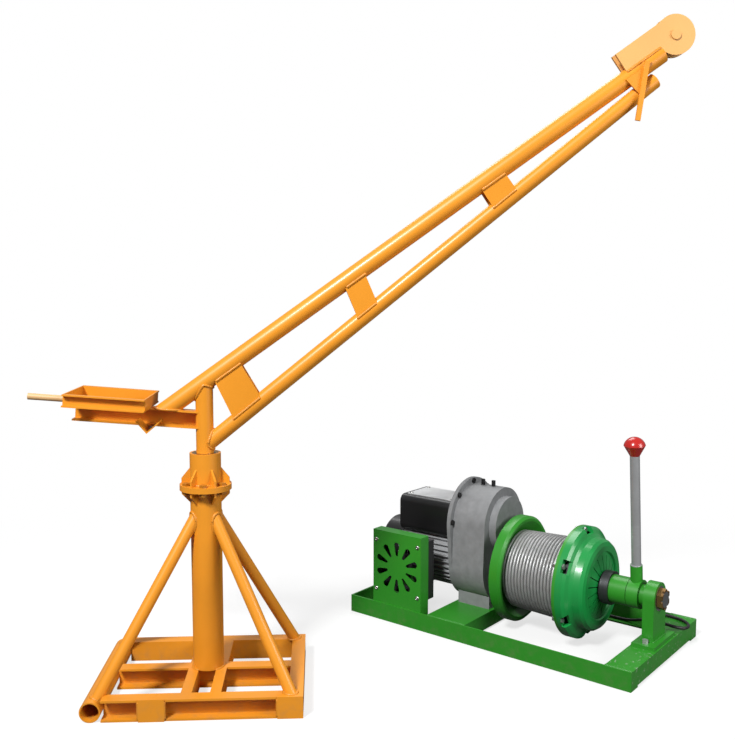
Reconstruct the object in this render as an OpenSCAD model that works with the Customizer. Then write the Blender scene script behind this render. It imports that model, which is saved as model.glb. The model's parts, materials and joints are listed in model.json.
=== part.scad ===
// Material hoist: a free-standing slewing jib crane with a ballast tray, and the
// electric clutch winch that stands beside it. Millimetres, +Z up, floor at z = 0.
// The mast axis is the Z axis and the jib points along +X.

/* [Crane base] */
// Distance from the mast axis to the outside of the left base tube
base_left = 320; // [290:1:380]
// Distance from the mast axis to the outside of the right base channel
base_right = 280; // [250:1:340]
// Depth of the base from front to back
base_d = 440; // [380:1:600]
// Height of the base channels
base_h = 60; // [60:1:80]
// Width of the base channels' flanges
base_flange = 40; // [34:1:50]
// Wall of the base channels
base_t = 6; // [4:0.5:8]
// Outer diameter of the left base tube
base_tube_d = 57; // [48:1:60]
// Wall of the left base tube
base_tube_t = 4; // [3:0.5:6]
// Width of the cover plates on the front channel
cover_w = 70; // [50:1:90]
// Thickness of the cover plates on the front channel
cover_t = 4; // [3:0.5:8]

/* [Mast] */
// Outer diameter of the mast tube and of the bearing housing
mast_d = 89; // [80:1:102]
// Wall of the mast tube
mast_t = 5; // [4:0.5:7]
// Height of the joint between the mast flange and the housing flange
joint_z = 594; // [520:1:680]
// Diameter of the two joint flanges
flange_d = 148; // [140:1:176]
// Thickness of each joint flange
flange_t = 8; // [6:0.5:12]
// Diameter of the flange bolts
bolt_d = 12; // [10:0.5:14]
// Outer diameter of the braces
brace_d = 33.7; // [26:0.1:42]
// Wall of the braces
brace_t = 3.2; // [2.5:0.1:5]
// Height at which the braces' axes meet the mast axis
brace_z = 560; // [480:1:580]
// Height of the bearing housing above the joint
housing_h = 98; // [85:1:120]
// Wall of the bearing housing
housing_t = 6; // [5:0.5:8]

/* [Jib] */
// Outer diameter of the slewing post
post_d = 50; // [46:1:54]
// Wall of the slewing post
post_t = 5; // [4:0.5:8]
// Outer diameter of the upper jib tube
upper_d = 51; // [46:1:54]
// Wall of the two jib tubes
jib_t = 4; // [3:0.5:5]
// Height of the upper tube's axis at the mast axis
upper_z = 893; // [870:1:930]
// Angle of the upper tube above the floor in degrees
upper_angle = 35.5; // [32:0.5:38]
// Reach of the upper tube's end from the mast axis
upper_reach = 1300; // [1100:1:1500]
// Outer diameter of the lower jib tube
lower_d = 44; // [38:1:46]
// Height of the lower tube's axis at the mast axis
lower_z = 710; // [705:1:722]
// Gap between the two tubes at the tip
tip_gap = 2; // [1:0.5:8]
// Thickness of the gusset plates
gusset_t = 6; // [4:0.5:8]
// Radius of the head cheeks' round end
cheek_r = 56; // [52:1:64]
// Thickness of each head cheek
cheek_t = 8; // [5:0.5:10]
// Outer radius of the rope sheave
sheave_r = 46; // [38:1:48]
// Width of the rope sheave
sheave_w = 22; // [16:1:24]
// Diameter of the sheave pin
sheave_pin_d = 20; // [16:0.5:24]

/* [Tray] */
// Height of the tray beam's top at the mast axis
beam_z = 811; // [800:1:822]
// Height of the tray beam
beam_h = 50; // [44:1:54]
// Width of the tray beam
beam_b = 40; // [34:1:46]
// Wall of the tray beam
beam_t = 5; // [4:0.5:7]
// Slope of the tray beam in degrees, rising away from the post
beam_slope = 4.5; // [2:0.5:6]
// Reach of the tray beam from the mast axis
beam_reach = 366; // [340:1:420]
// Outer length of the tray along the beam
tray_l = 222; // [180:1:232]
// Outer width of the tray across the beam
tray_w = 230; // [180:1:300]
// Height of the tray's sides
tray_h = 35; // [28:1:45]
// Wall of the tray's angles
tray_t = 4; // [3:0.5:6]
// Diameter of the tray handle
handle_d = 18; // [14:0.5:22]
// Length of the tray handle
handle_l = 102; // [70:1:140]

/* [Winch frame] */
// Place of the winch's middle along X, from the mast axis
winch_x = 1010; // [900:1:1200]
// Place of the winch's middle along Y, from the mast axis
winch_y = 430; // [380:1:700]
// Turn of the winch about Z in degrees
winch_yaw = -42; // [-60:1:-30]
// Length of the winch frame
frame_l = 1050; // [1050:1:1200]
// Width of the winch frame
frame_b = 540; // [520:1:640]
// Height of the frame's rails
rail_h = 60; // [56:1:64]
// Width of the rails' lower legs
rail_b = 50; // [40:1:60]
// Wall of the frame's steel
rail_t = 6; // [4:0.5:8]
// Width of the right end beam
end_w = 85; // [80:1:90]
// Width of the fan guard
guard_w = 204; // [200:1:230]
// Height of the fan guard
guard_h = 312; // [306:1:340]
// Depth of the fan guard
guard_d = 45; // [40:1:60]

/* [Winch drive] */
// Height of the drum axis above the floor
shaft_z = 200; // [198:1:210]
// Diameter of the output shaft
shaft_d = 50; // [46:0.5:52]
// Diameter of the motor over its fins
motor_d = 220; // [200:1:230]
// Length of the motor housing
motor_l = 250; // [230:1:252]
// Length of the motor's fan cover
fan_cover_l = 72; // [60:1:74]
// Diameter of the rotor core
rotor_d = 120; // [100:1:124]
// Diameter of the motor shaft
rotor_shaft_d = 28; // [24:0.5:32]
// Module of the gears
gear_m = 4; // [3.6:0.1:4]
// Width of the gears
gear_w = 36; // [28:1:38]
// Wall of the gearbox case
case_t = 8; // [6:0.5:10]
// Width of the terminal box across the motor
box_w = 186; // [150:1:200]
// Height of the terminal box's top above the motor axis
box_top = 208; // [190:1:220]

/* [Drum and clutch] */
// Outer radius of the bowl flange
bowl_r = 180; // [170:1:184]
// Depth of the bowl flange
bowl_w = 55; // [48:1:56]
// Diameter of the rope
rope_d = 11; // [9:0.5:11]
// Distance from one turn of the rope to the next
rope_pitch = 12; // [12:0.1:12.5]
// Radius of the rope's middle at the bowl flange
rope_r = 126; // [122:1:128]
// Growth of the winding's radius towards the clutch
rope_rise = 7; // [0:1:8]
// Outer radius of the clutch cover and the drum's end disc
disc_r = 183; // [180:1:188]
// Thickness of the drum's end disc
disc_t = 10; // [8:0.5:12]
// Depth of the clutch cover
clutch_h = 80; // [78:1:82]

/* [Lever] */
// Distance from the drum axis to the top of the lever rod
lever_l = 450; // [380:1:520]
// Diameter of the lever rod
lever_d = 30; // [26:0.5:34]
// Diameter of the knob
knob_d = 66; // [54:1:74]
// Lean of the lever towards the front in degrees
lever_lean = 6; // [0:1:12]

/* [Hidden] */
$fn = 48;
// Overrun of every cut past the face that it leaves
over = 2;
// Radial running clearance of a shaft in its bearing
run = 0.05;
// Gap between faces that turn or slide past each other
face_gap = 0.4;
// Radial clearance of a bolt in its hole
bolt_gap = 0.5;
// Shares of a bolt's diameter: head height, head width over corners, nut height
bolt_head_share = 0.6;
bolt_corner_share = 1.9;
nut_share = 0.8;
// Sides of a bolt's head
hex = 6;

// Base places
base_tube_x = base_tube_d / 2 - base_left;
base_in_x = base_tube_d - base_left;
cover_share = 0.4;
cover_places = [-base_left * cover_share, base_right - cover_w / 2];
cover_rise = 2;
cover_h = base_h + cover_rise;
inner_flange = 30;
inner_share = 0.15;
inner_x = mast_d / 2 - inner_share * inner_flange;
// Places where the braces land, as shares of the base's half depth
brace_front_share = 0.87;
brace_inset = 18;

// Mast and housing
rib_n = 6;
rib_t = 6;
rib_low_h = 42;
rib_high_h = 50;
rib_share = 0.82;
bolt_pcd = (mast_d + flange_d) / 2;
housing_r = mast_d / 2 - housing_t;
bush_h = 26;
washer_t = 6;
washer_r = post_d / 2 + housing_t;
post_z = joint_z + washer_t + face_gap;
housing_z = joint_z + housing_h;

// Jib directions and the line of each tube in the plane y = 0
upper_k = tan(upper_angle);
tip_back = 18;
tip_x = upper_reach - tip_back;
tip_offset = (upper_d / 2 + lower_d / 2 + tip_gap) / cos(upper_angle);
lower_k = (upper_z + upper_k * tip_x - tip_offset - lower_z) / tip_x;
lower_angle = atan(lower_k);
upper_len = upper_reach / cos(upper_angle);
lower_len = tip_x / cos(lower_angle);
// Where each gusset meets the upper and the lower tube, as shares of the reach
gusset_upper_shares = [[0.02, 0.075], [0.305, 0.348], [0.6, 0.65]];
gusset_lower_shares = [[0.068, 0.128], [0.34, 0.382], [0.636, 0.686]];
gusset_y_share = 0.78;
gusset_y = upper_d / 2 * gusset_y_share;
tip_upper_shares = [0.915, 0.97];
tip_lower_share = 0.945;
tip_plate_t = 6;
// Flat tag bar on the tip plate
bar_w = 14;
bar_t = 7;
bar_l = 165;
bar_lean = 8;

// Head: the sheave's centre lies beyond the tube's end and above its axis
head_along = 54;
head_across = 22;
head_x = upper_reach + head_along * cos(upper_angle) - head_across * sin(upper_angle);
head_z = upper_z + upper_k * upper_reach + head_along * sin(upper_angle)
  + head_across * cos(upper_angle);
cheek_tail = 172;
cheek_drop = 3;
cheek_side_gap = 1;
cheek_y = sheave_w / 2 + cheek_side_gap;
sheave_groove = 9;
sheave_lip = 3;
sheave_bush_t = 5;
pin_head_d = 28;
pin_head_t = 4;

// Tray places, in the beam's own sloping frame
tray_proud = 6;
tray_x0 = -beam_reach - tray_proud;
side_flange = 18;
handle_y_share = 0.3;
handle_y = -tray_w * handle_y_share;
cross_leg = 46;
cross_l = 150;
cross_x_share = 0.4;
cross_x = -beam_reach * cross_x_share;
cross_drop = 14;

// Winch frame places, in the winch's own frame with its middle at the origin
half_l = frame_l / 2;
half_b = frame_b / 2;
bed_w = 150;
guard_t = 3;
guard_inset = 97;
guard_x0 = guard_inset - half_l;
guard_shift = guard_x0 + guard_w / 2;
slot_n = 10;
slot_in_r = 5;
slot_out_r = 11;
slot_in = 46;
slot_out = 79;
guard_mid_z = 196;
fan_w = guard_w;
fan_depth = 32;
fan_bore_r = 86;
fan_hub_r = 34;
fan_tip_gap = 4;
fan_blades = 7;
blade_t = 3;
blade_pitch = 35;
blade_share = 0.75;
strut_w = 10;
strut_t = 4;
fan_pin_r = 4;

// Drive places along the drum axis
gear_low_n = 57;
gear_low_pinion_n = 15;
gear_high_n = 54;
gear_high_pinion_n = 18;
centre_d = gear_m * (gear_low_n + gear_low_pinion_n) / 2;
addendum_share = 0.8;
dedendum_share = 1.05;
backlash_share = 0.06;
pressure_angle = 20;
drive_inset = 465;
case_x1 = drive_inset - half_l;
case_l = 125;
case_x0 = case_x1 - case_l;
cover_plate_t = 14;
drive_x0 = case_x0 - cover_plate_t;
motor_x0 = drive_x0 - motor_l;
gear_side_gap = 6;
high_x0 = case_x0 + gear_side_gap;
low_x0 = high_x0 + gear_w + 2 * gear_side_gap;
case_gap = 6;
case_low_r = gear_m * (gear_low_n / 2 + addendum_share) + case_gap;
case_high_r = gear_m * (gear_high_n / 2 + addendum_share) + case_gap;
case_lip = 20;
foot_share = 0.72;
cover_bolt_angles = [4, 47, 90, 133, 176];
fitting_h = 20;
fitting_d = 14;
bulge_r = 96;
bulge_l = 26;
neck_r = 62;
bearing_t = 14;
bearing_w = 16;
counter_d = 36;
hex_share = 0.9;
fin_n = 36;
fin_t = 4;
fin_h = 13;
motor_wall = 12;
stator_gap = 1;
vent_n = 12;
vent_w = 9;
cap_lap = 10;
fan_cover_t = 3;
box_inset = 10;
box_x0 = motor_x0 + box_inset;
box_clear = 16;
box_l = motor_l - box_inset - box_clear;
box_h = 130;
box_corner = 24;
gland_back = 35;
gland_x = box_x0 + box_l - gland_back;
gland_rise = 50;
gland_z = motor_d / 2 + gland_rise;
plate_t = 2;
plate_edge = 12;
lid_rim = 3;
lid_w = box_w - 2 * box_corner - 2 * lid_rim;
plate_hole_r = 3;

// Release gear, from the pedestal back to the clutch
pedestal_t = 36;
pedestal_x0 = half_l - end_w / 2 - pedestal_t / 2;
pedestal_w = 170;
pedestal_foot_t = 12;
pedestal_foot_l = 74;
pedestal_r = 50;
pedestal_gap = 20;
collar_l = 38;
collar_r = 46;
collar_x0 = pedestal_x0 - pedestal_gap - collar_l;
collar_gap = 2;
sleeve_l = 56;
sleeve_r = 45;
bearing_l = 28;
release_x0 = collar_x0 - collar_gap - sleeve_l - bearing_l;
release_r = 54;
nose_t = 5;
free_play = 5;
spring_t = 3;
spring_lift = 14;
spring_seat_share = 0.88;
clutch_x = release_x0 - free_play - spring_lift - clutch_h * spring_seat_share;
disc_x = clutch_x - disc_t;

// Drum, with as many turns as its length takes
drum_gap = 35;
drum_x0 = case_x1 + drum_gap;
web_t = 16;
rope_start_share = 0.64;
rope_x0 = drum_x0 + bowl_w * rope_start_share;
wind_side = 1;
rope_turns = floor((disc_x - wind_side - rope_d / 2 - rope_x0) / rope_pitch);
rope_x1 = rope_x0 + rope_turns * rope_pitch;
core_wall = 14;
lip_share = 0.3;
bowl_back_share = 0.8;
clip_l = 22;
ring_n = 24;
rope_sides = 6;
rope_gap = 0.5;
clutch_bolts_n = 6;
clutch_bolt_d = 10;
clutch_bolt_r = disc_r - clutch_bolt_d;
clutch_flange_t = 12;
pocket_w = 44;
slit_n = 18;
slit_w = 3;
finger_r = 50;
spring_r_share = 0.678;
spring_r = disc_r * spring_r_share;
slit_share = 0.8;
pocket_share = 1.05;
// Outline of the clutch cover as shares of its radius and its depth
cover_shares = [[0.9, 0], [1, 0], [1, 0.28], [0.95, 0.38], [0.88, 0.46], [0.83, 0.56], [0.81, 0.82],
  [0.77, 0.95], [0.7, 1], [0.61, 1], [0.59, 0.93], [0.678, 0.88], [0.73, 0.8], [0.75, 0.52], [0.86, 0.38],
  [0.9, 0.3]];
lining_t = 9;
lining_r = 152;
plate_in_r = 96;
plate_w = 18;

// Pedestal's hub and the lever
hub_r = 33;
hub_gap = 2;
hub_bore_r = shaft_d / 2 + hub_gap;
hub_l = 120;
hub_web = 10;
socket_d = collar_l;
socket_l = 96;
nut_w = 18;
nut_d = 70;
nut_slot_share = 0.125;
nut_crown_share = 0.65;
knob_cone_share = 0.5;
knob_dome_share = 0.4;

// Power cord: its route in the winch's frame, from the gland to the plug
cord_d = 10;
cord_sides = 8;
gland_l = 30;
plug_d = 38;
plug_l = 46;
plug_pin_l = 18;
plug_pin_d = 6;
gland_shares = [1.2, 0.75];
cord_route = [[-250, 123, 360], [-250, 150, 360], [-249, 176, 351], [-246, 194, 329], [-242, 202, 297],
  [-237, 205, 262], [-231, 207, 227], [-223, 209, 192], [-212, 211, 158], [-196, 213, 126], [-174, 215, 98],
  [-145, 218, 77], [-112, 221, 67], [-78, 224, 65.3], [-45, 227, 65.3], [-12, 231, 58], [20, 235, 43],
  [55, 238, 27], [92, 240, 15], [132, 241, 11.3], [175, 241, 11.3], [220, 241, 11.3], [265, 240, 11.3],
  [305, 238, 14], [342, 235, 24], [375, 231, 40], [405, 228, 57], [438, 226, 65.3], [470, 224, 65.3],
  [500, 214, 65.3], [524, 192, 65.3], [533, 164, 66], [526, 137, 69], [505, 118, 75], [480, 112, 79],
  [466, 112, 79]];
cord_steps = 2;

// Shared shapes

// Round tube along +Z
module tube(d, t, l) {
  difference() {
    cylinder(h = l, d = d);
    translate([0, 0, -over]) cylinder(h = l + 2 * over, d = d - 2 * t);
  }
}

// Outline carried along +X: the outline's first axis becomes Y, its second Z
module run_x(l) {
  rotate([90, 0, 90]) linear_extrude(l) children();
}

// Outline in the X and Z plane, carried along +Y from y
module run_y(y, l) {
  translate([0, y + l, 0]) rotate([90, 0, 0]) linear_extrude(l) children();
}

// Channel outline: web on the second axis, flanges towards the first axis
module channel_2d(h, b, t) {
  polygon([[0, 0], [b, 0], [b, t], [t, t], [t, h - t], [b, h - t], [b, h], [0, h]]);
}

// Angle outline with its corner at the origin
module angle_2d(a, b, t) {
  polygon([[0, 0], [a, 0], [a, t], [t, t], [t, b], [0, b]]);
}

// Bolt along +Z through a stack of the given grip, its head on top and its nut below z = 0
module bolt(d, grip) {
  translate([0, 0, -nut_share * d]) cylinder(h = grip + nut_share * d, d = d);
  translate([0, 0, grip]) cylinder(h = bolt_head_share * d, d = bolt_corner_share * d, $fn = hex);
  translate([0, 0, -nut_share * d]) cylinder(h = nut_share * d, d = bolt_corner_share * d, $fn = hex);
}

// Rows of the flange joint: bolts and ribs alternate round the mast
module round_mast(shift) {
  for (i = [0 : rib_n - 1]) rotate([0, 0, (i + shift) * 360 / rib_n]) children();
}

// Triangular rib that runs into the mast's wall, its foot on z = 0 and its point at height h
module rib(h) {
  r0 = mast_d / 2 - housing_t / 2;
  r1 = flange_d / 2 * rib_share + mast_d / 2 * (1 - rib_share);
  translate([0, -rib_t / 2, 0]) rotate([90, 0, 0]) mirror([0, 0, 1]) linear_extrude(rib_t)
    polygon([[r0, 0], [r1, 0], [r1, h / 3], [r0, h]]);
}

// Frame of the upper tube: its axis along +X from the mast axis
module on_upper() {
  translate([0, 0, upper_z]) rotate([0, -upper_angle, 0]) children();
}

// Frame of the lower tube
module on_lower() {
  translate([0, 0, lower_z]) rotate([0, -lower_angle, 0]) children();
}

// Frame of the tray beam: its top at z = 0, rising towards -X
module on_beam() {
  translate([0, 0, beam_z]) rotate([0, beam_slope, 0]) children();
}

// Solid space that a jib tube takes up, for fitting plates to it
module upper_space() {
  on_upper() rotate([0, 90, 0]) translate([0, 0, -upper_len]) cylinder(h = 2 * upper_len, d = upper_d);
}
module lower_space() {
  on_lower() rotate([0, 90, 0]) translate([0, 0, -over]) cylinder(h = lower_len + over, d = lower_d);
}
module post_space() {
  translate([0, 0, post_z]) cylinder(h = upper_z - post_z, d = post_d);
}

// Points on the tubes' axes at a share of the reach
function upper_at(s) = [s * upper_reach, upper_z + upper_k * s * upper_reach];
function lower_at(s) = [s * upper_reach, lower_z + lower_k * s * upper_reach];

// Crane base

module base_front_channel() {
  color("orange") translate([base_in_x, base_flange - base_d / 2, 0]) mirror([0, 1, 0])
    run_x(base_right - base_in_x) channel_2d(base_h, base_flange, base_t);
  base_cover_plates();
}

module base_rear_channel() {
  color("orange") translate([base_in_x, base_d / 2 - base_flange, 0])
    run_x(base_right - base_in_x) channel_2d(base_h, base_flange, base_t);
}

module base_left_tube() {
  color("orange") translate([base_tube_x, base_d / 2, base_tube_d / 2]) rotate([90, 0, 0])
    tube(base_tube_d, base_tube_t, base_d);
}

module base_right_channel() {
  l = base_d - 2 * base_flange;
  color("orange") translate([base_right, -l / 2, 0]) rotate([0, 0, 90]) run_x(l)
    channel_2d(base_h, base_flange, base_t);
}

// Cross channel under the mast, and the four inner channels that run from it to the front and the back
module base_cross_members() {
  inner_l = base_d / 2 - base_flange - base_flange / 2;
  color("orange") {
    translate([base_in_x, base_flange / 2, 0]) mirror([0, 1, 0])
      run_x(base_right - base_flange - base_in_x) channel_2d(base_h, base_flange, base_t);
    for (sx = [-1, 1], sy = [-1, 1])
      translate([sx * inner_x, sy < 0 ? -base_flange / 2 - inner_l : base_flange / 2, 0])
        mirror([sx > 0 ? 1 : 0, 0, 0]) translate([inner_flange / 2, 0, 0]) rotate([0, 0, 90])
          run_x(inner_l) channel_2d(base_h, inner_flange, base_t);
  }
}

module base_cover_plates() {
  color("orange") for (x = cover_places)
    translate([x - cover_w / 2, -base_d / 2 - cover_t, 0]) cube([cover_w, cover_t, cover_h]);
}

// Mast

module mast_tube() {
  color("darkorange") translate([0, 0, base_h]) tube(mast_d, mast_t, joint_z - flange_t - base_h);
}

module mast_flange() {
  color("darkorange") {
    difference() {
      translate([0, 0, joint_z - flange_t]) cylinder(h = flange_t, d = flange_d);
      bolt_holes(joint_z - flange_t);
    }
    difference() {
      translate([0, 0, joint_z - flange_t]) mirror([0, 0, 1]) round_mast(0) rib(rib_low_h);
      translate([0, 0, base_h]) cylinder(h = joint_z - flange_t - base_h, d = mast_d);
    }
  }
}

module bolt_holes(z) {
  translate([0, 0, z - over]) round_mast(1 / 2) translate([bolt_pcd / 2, 0, 0])
    cylinder(h = flange_t + 2 * over, d = bolt_d + 2 * bolt_gap);
}

// One brace from the mast to the given place on top of the base, cut to both
module brace(x, y, land_z) {
  r = norm([x, y]);
  l = norm([r, brace_z - land_z]);
  difference() {
    translate([0, 0, brace_z]) rotate([0, 90 + atan((brace_z - land_z) / r), atan2(y, x)])
      tube(brace_d, brace_t, l + brace_d);
    translate([0, 0, base_h - over]) cylinder(h = brace_z + brace_d, d = mast_d);
    translate([x - base_left, y - base_d / 2, land_z - base_h * 2]) cube([2 * base_left, base_d, base_h * 2]);
    translate([base_tube_x, base_d, base_tube_d / 2]) rotate([90, 0, 0])
      cylinder(h = 2 * base_d, d = base_tube_d);
  }
}

module mast_braces() {
  y = base_d / 2 * brace_front_share;
  color("orange") for (s = [-1, 1]) {
    difference() {
      brace(base_tube_x, s * y, base_tube_d / 2);
      translate([base_in_x, -base_d, -over]) cube([base_right - base_in_x, 2 * base_d, base_h + over]);
    }
    brace(base_right - brace_inset - brace_d / 2, s * y, base_h);
  }
}

module bearing_housing() {
  color("darkorange") {
    difference() {
      union() {
        translate([0, 0, joint_z]) cylinder(h = flange_t, d = flange_d);
        translate([0, 0, joint_z]) cylinder(h = housing_h, d = mast_d);
      }
      translate([0, 0, joint_z - over]) cylinder(h = housing_h + 2 * over, r = housing_r);
      bolt_holes(joint_z);
    }
    translate([0, 0, joint_z + flange_t]) round_mast(0) rib(rib_high_h);
  }
}

module flange_bolts() {
  color("dimgray") translate([0, 0, joint_z - flange_t]) round_mast(1 / 2)
    translate([bolt_pcd / 2, 0, 0]) bolt(bolt_d, 2 * flange_t);
}

// Two bushes in the housing, and the washer that the post stands on
module slew_bearings() {
  bush_t = housing_r - post_d / 2 - run;
  color("peru") {
    for (z = [joint_z + flange_t, housing_z - bush_h])
      translate([0, 0, z]) tube(2 * housing_r, bush_t, bush_h);
    translate([0, 0, joint_z]) cylinder(h = washer_t, r = washer_r);
  }
}

// Jib

module slewing_post() {
  color("darkorange") difference() {
    translate([0, 0, post_z]) tube(post_d, post_t, upper_z - post_z);
    upper_space();
  }
}

module tray_beam() {
  color("orange") difference() {
    on_beam() translate([-beam_reach, beam_b / 2, -beam_h]) mirror([0, 1, 0])
      run_x(beam_reach) channel_2d(beam_h, beam_b, beam_t);
    post_space();
  }
}

// Angle across the underside of the beam with its corner down, notched to the beam
module tray_cross_angle() {
  color("orange") difference() {
    on_beam() translate([cross_x, -cross_l / 2, -beam_h - cross_drop]) rotate([0, -45, 0])
      translate([0, cross_l, 0]) rotate([90, 0, 0]) linear_extrude(cross_l)
        angle_2d(cross_leg, cross_leg, tray_t);
    on_beam() translate([-beam_reach - over, -beam_b / 2, -beam_h])
      cube([beam_reach + over, beam_b, beam_h]);
    on_beam() translate([-beam_reach - over, -cross_l, 0]) cube([beam_reach + over, 2 * cross_l, cross_leg]);
  }
}

// Ballast tray: a channel on each side and an angle at each end
module tray_frame() {
  end_l = tray_w - 2 * side_flange;
  color("orange") on_beam() {
    for (s = [-1, 1]) mirror([0, s > 0 ? 0 : 1, 0]) translate([tray_x0, tray_w / 2 - side_flange, 0])
      run_x(tray_l) channel_2d(tray_h, side_flange, tray_t);
    for (s = [0, 1]) translate([tray_x0 + s * tray_l, 0, 0]) mirror([s, 0, 0])
      run_y(-end_l / 2, end_l) angle_2d(tray_h, tray_h, tray_t);
  }
}

module tray_handle() {
  color("sandybrown") on_beam() translate([tray_x0, handle_y, tray_h / 2]) rotate([0, -90, 0])
    cylinder(h = handle_l, d = handle_d);
}

module upper_jib_tube() {
  back = (upper_z - beam_z) / sin(upper_angle) + upper_d * 2;
  color("orange") difference() {
    on_upper() translate([-back, 0, 0]) rotate([0, 90, 0]) tube(upper_d, jib_t, upper_len + back);
    on_beam() translate([-beam_reach, -upper_d, -beam_reach]) cube([2 * beam_reach, 2 * upper_d, beam_reach]);
  }
}

module lower_jib_tube() {
  color("orange") difference() {
    on_lower() rotate([0, 90, 0]) tube(lower_d, jib_t, lower_len);
    post_space();
  }
}

// Three pairs of plates between the two tubes
module gusset_plates() {
  color("orange") difference() {
    for (i = [0 : len(gusset_upper_shares) - 1], s = [-1, 1])
      run_y(s * gusset_y - (s + 1) / 2 * gusset_t, gusset_t) polygon([
        upper_at(gusset_upper_shares[i][0]), upper_at(gusset_upper_shares[i][1]),
        lower_at(gusset_lower_shares[i][1]), lower_at(gusset_lower_shares[i][0])]);
    upper_space();
    lower_space();
  }
}

// Three-cornered plate on the tip's front side, and the flat bar welded to it
module tag_bar() {
  y = -upper_d / 2 + jib_t / 2;
  color("orange") difference() {
    run_y(y - tip_plate_t, tip_plate_t) polygon([upper_at(tip_upper_shares[0]),
      upper_at(tip_upper_shares[1]), lower_at(tip_lower_share)]);
    upper_space();
    lower_space();
  }
  top = upper_at(tip_upper_shares[1]);
  color("orange") translate([top[0] - bar_w, y - tip_plate_t - bar_t, top[1]])
    rotate([0, bar_lean, 0]) translate([-bar_w / 2, 0, -bar_l]) cube([bar_w, bar_t, bar_l]);
}

// Two plates that carry the sheave, each fitted over the upper tube's end
module head_cheeks() {
  color("sandybrown") difference() {
    for (s = [-1, 1]) run_y(s * cheek_y + (s - 1) / 2 * cheek_t, cheek_t) translate([head_x, head_z]) {
      circle(r = cheek_r);
      rotate(upper_angle) translate([-cheek_tail, -head_across - cheek_drop])
        square([cheek_tail, cheek_r + head_across]);
    }
    upper_space_end();
    translate([head_x, -cheek_y * 2, head_z]) rotate([-90, 0, 0]) cylinder(h = cheek_y * 4, d = sheave_pin_d);
  }
}

// Space of the upper tube up to its open end
module upper_space_end() {
  on_upper() rotate([0, 90, 0]) cylinder(h = upper_len, d = upper_d);
}

module sheave_pin() {
  l = 2 * (cheek_y + cheek_t);
  color("gray") translate([head_x, -l / 2, head_z]) rotate([-90, 0, 0]) {
    cylinder(h = l, d = sheave_pin_d);
    translate([0, 0, -pin_head_t]) cylinder(h = pin_head_t, d = pin_head_d);
    translate([0, 0, l]) cylinder(h = pin_head_t, d = pin_head_d);
  }
}

// Grooved sheave on its bush
module rope_sheave() {
  pin_r = sheave_pin_d / 2 + run;
  bush_r = pin_r + sheave_bush_t;
  half = sheave_w / 2;
  root = sheave_r - sheave_groove;
  color("dimgray") translate([head_x, 0, head_z]) rotate([-90, 0, 0]) {
    rotate_extrude() polygon([[bush_r, -half], [sheave_r, -half], [sheave_r, sheave_lip - half],
      [root, -sheave_lip], [root, sheave_lip], [sheave_r, half - sheave_lip], [sheave_r, half],
      [bush_r, half]]);
    rotate_extrude() polygon([[pin_r, -half], [bush_r, -half], [bush_r, half], [pin_r, half]]);
  }
}

// Winch frames of reference

module on_winch() {
  translate([winch_x, winch_y, 0]) rotate([0, 0, winch_yaw]) children();
}

// Drum axis along +X
module on_axis() {
  on_winch() translate([0, 0, shaft_z]) children();
}

// Ring about the X axis from x0 with the given length
module ring_x(x0, l, r_out, r_in) {
  translate([x0, 0, 0]) rotate([0, 90, 0]) difference() {
    cylinder(h = l, r = r_out);
    translate([0, 0, -over]) cylinder(h = l + 2 * over, r = r_in);
  }
}

// Solid round bar about the X axis
module bar_x(x0, l, r) {
  translate([x0, 0, 0]) rotate([0, 90, 0]) cylinder(h = l, r = r);
}

// Six-sided bar about the X axis, for a gear's seat
module hex_x(x0, l, r) {
  translate([x0, 0, 0]) rotate([0, 90, 0]) cylinder(h = l, r = r, $fn = hex);
}

// Outline of radius and place along X, turned about the X axis
module turn_x() {
  rotate([0, 90, 0]) rotate_extrude() children();
}

// Outline in the Y and Z plane carried along +X from x0
module slab_x(x0, l) {
  translate([x0, 0, 0]) run_x(l) children();
}

// Involute of a gear: angle of the flank at radius r on base radius rb
function inv(r, rb) = let (a = acos(min(1, rb / r))) tan(a) * 180 / PI - a;
function gear_points(n) = let (
    r = gear_m * n / 2,
    rb = r * cos(pressure_angle),
    tip = r + gear_m * addendum_share,
    root = r - gear_m * dedendum_share,
    low = max(rb, root),
    half = 90 / n * (1 - backlash_share) + inv(r, rb),
    radii = [root, low, (low + r) / 2, r, (r + tip) / 2, tip],
    turns = [for (q = radii) half - inv(max(q, rb), rb)],
    m = len(radii) - 1)
  [for (i = [0 : n - 1], k = [0 : 2 * m + 1])
    let (j = k <= m ? k : 2 * m + 1 - k, a = 90 + i * 360 / n + (k <= m ? -1 : 1) * turns[j])
    radii[j] * [cos(a), sin(a)]];

// Gear with a six-sided bore, its teeth turned by a part of a tooth
module gear(n, x0, w, bore_r, shift = 0) {
  difference() {
    rotate([shift * 360 / n, 0, 0]) slab_x(x0, w) polygon(gear_points(n));
    hex_x(x0 - over, w + 2 * over, bore_r);
  }
}

// Outline round two circles one above the other, with straight sides between them
module two_rounds_2d(r_low, r_high, d) {
  a = asin((r_low - r_high) / d);
  circle(r = r_low);
  translate([0, d]) circle(r = r_high);
  polygon([r_low * [cos(a), sin(a)], [0, d] + r_high * [cos(a), sin(a)],
    [0, d] + r_high * [-cos(a), sin(a)], r_low * [-cos(a), sin(a)]]);
}

// Winch frame

module winch_rails() {
  color("limegreen") on_winch() for (s = [-1, 1]) mirror([0, s > 0 ? 1 : 0, 0])
    translate([-half_l, -half_b, 0]) run_x(frame_l) angle_2d(rail_b, rail_h, rail_t);
}

module left_end_rail() {
  l = frame_b - 2 * rail_t;
  color("limegreen") on_winch() translate([-half_l, 0, rail_t])
    run_y(-l / 2, l) angle_2d(rail_b, rail_h - rail_t, rail_t);
}

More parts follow.
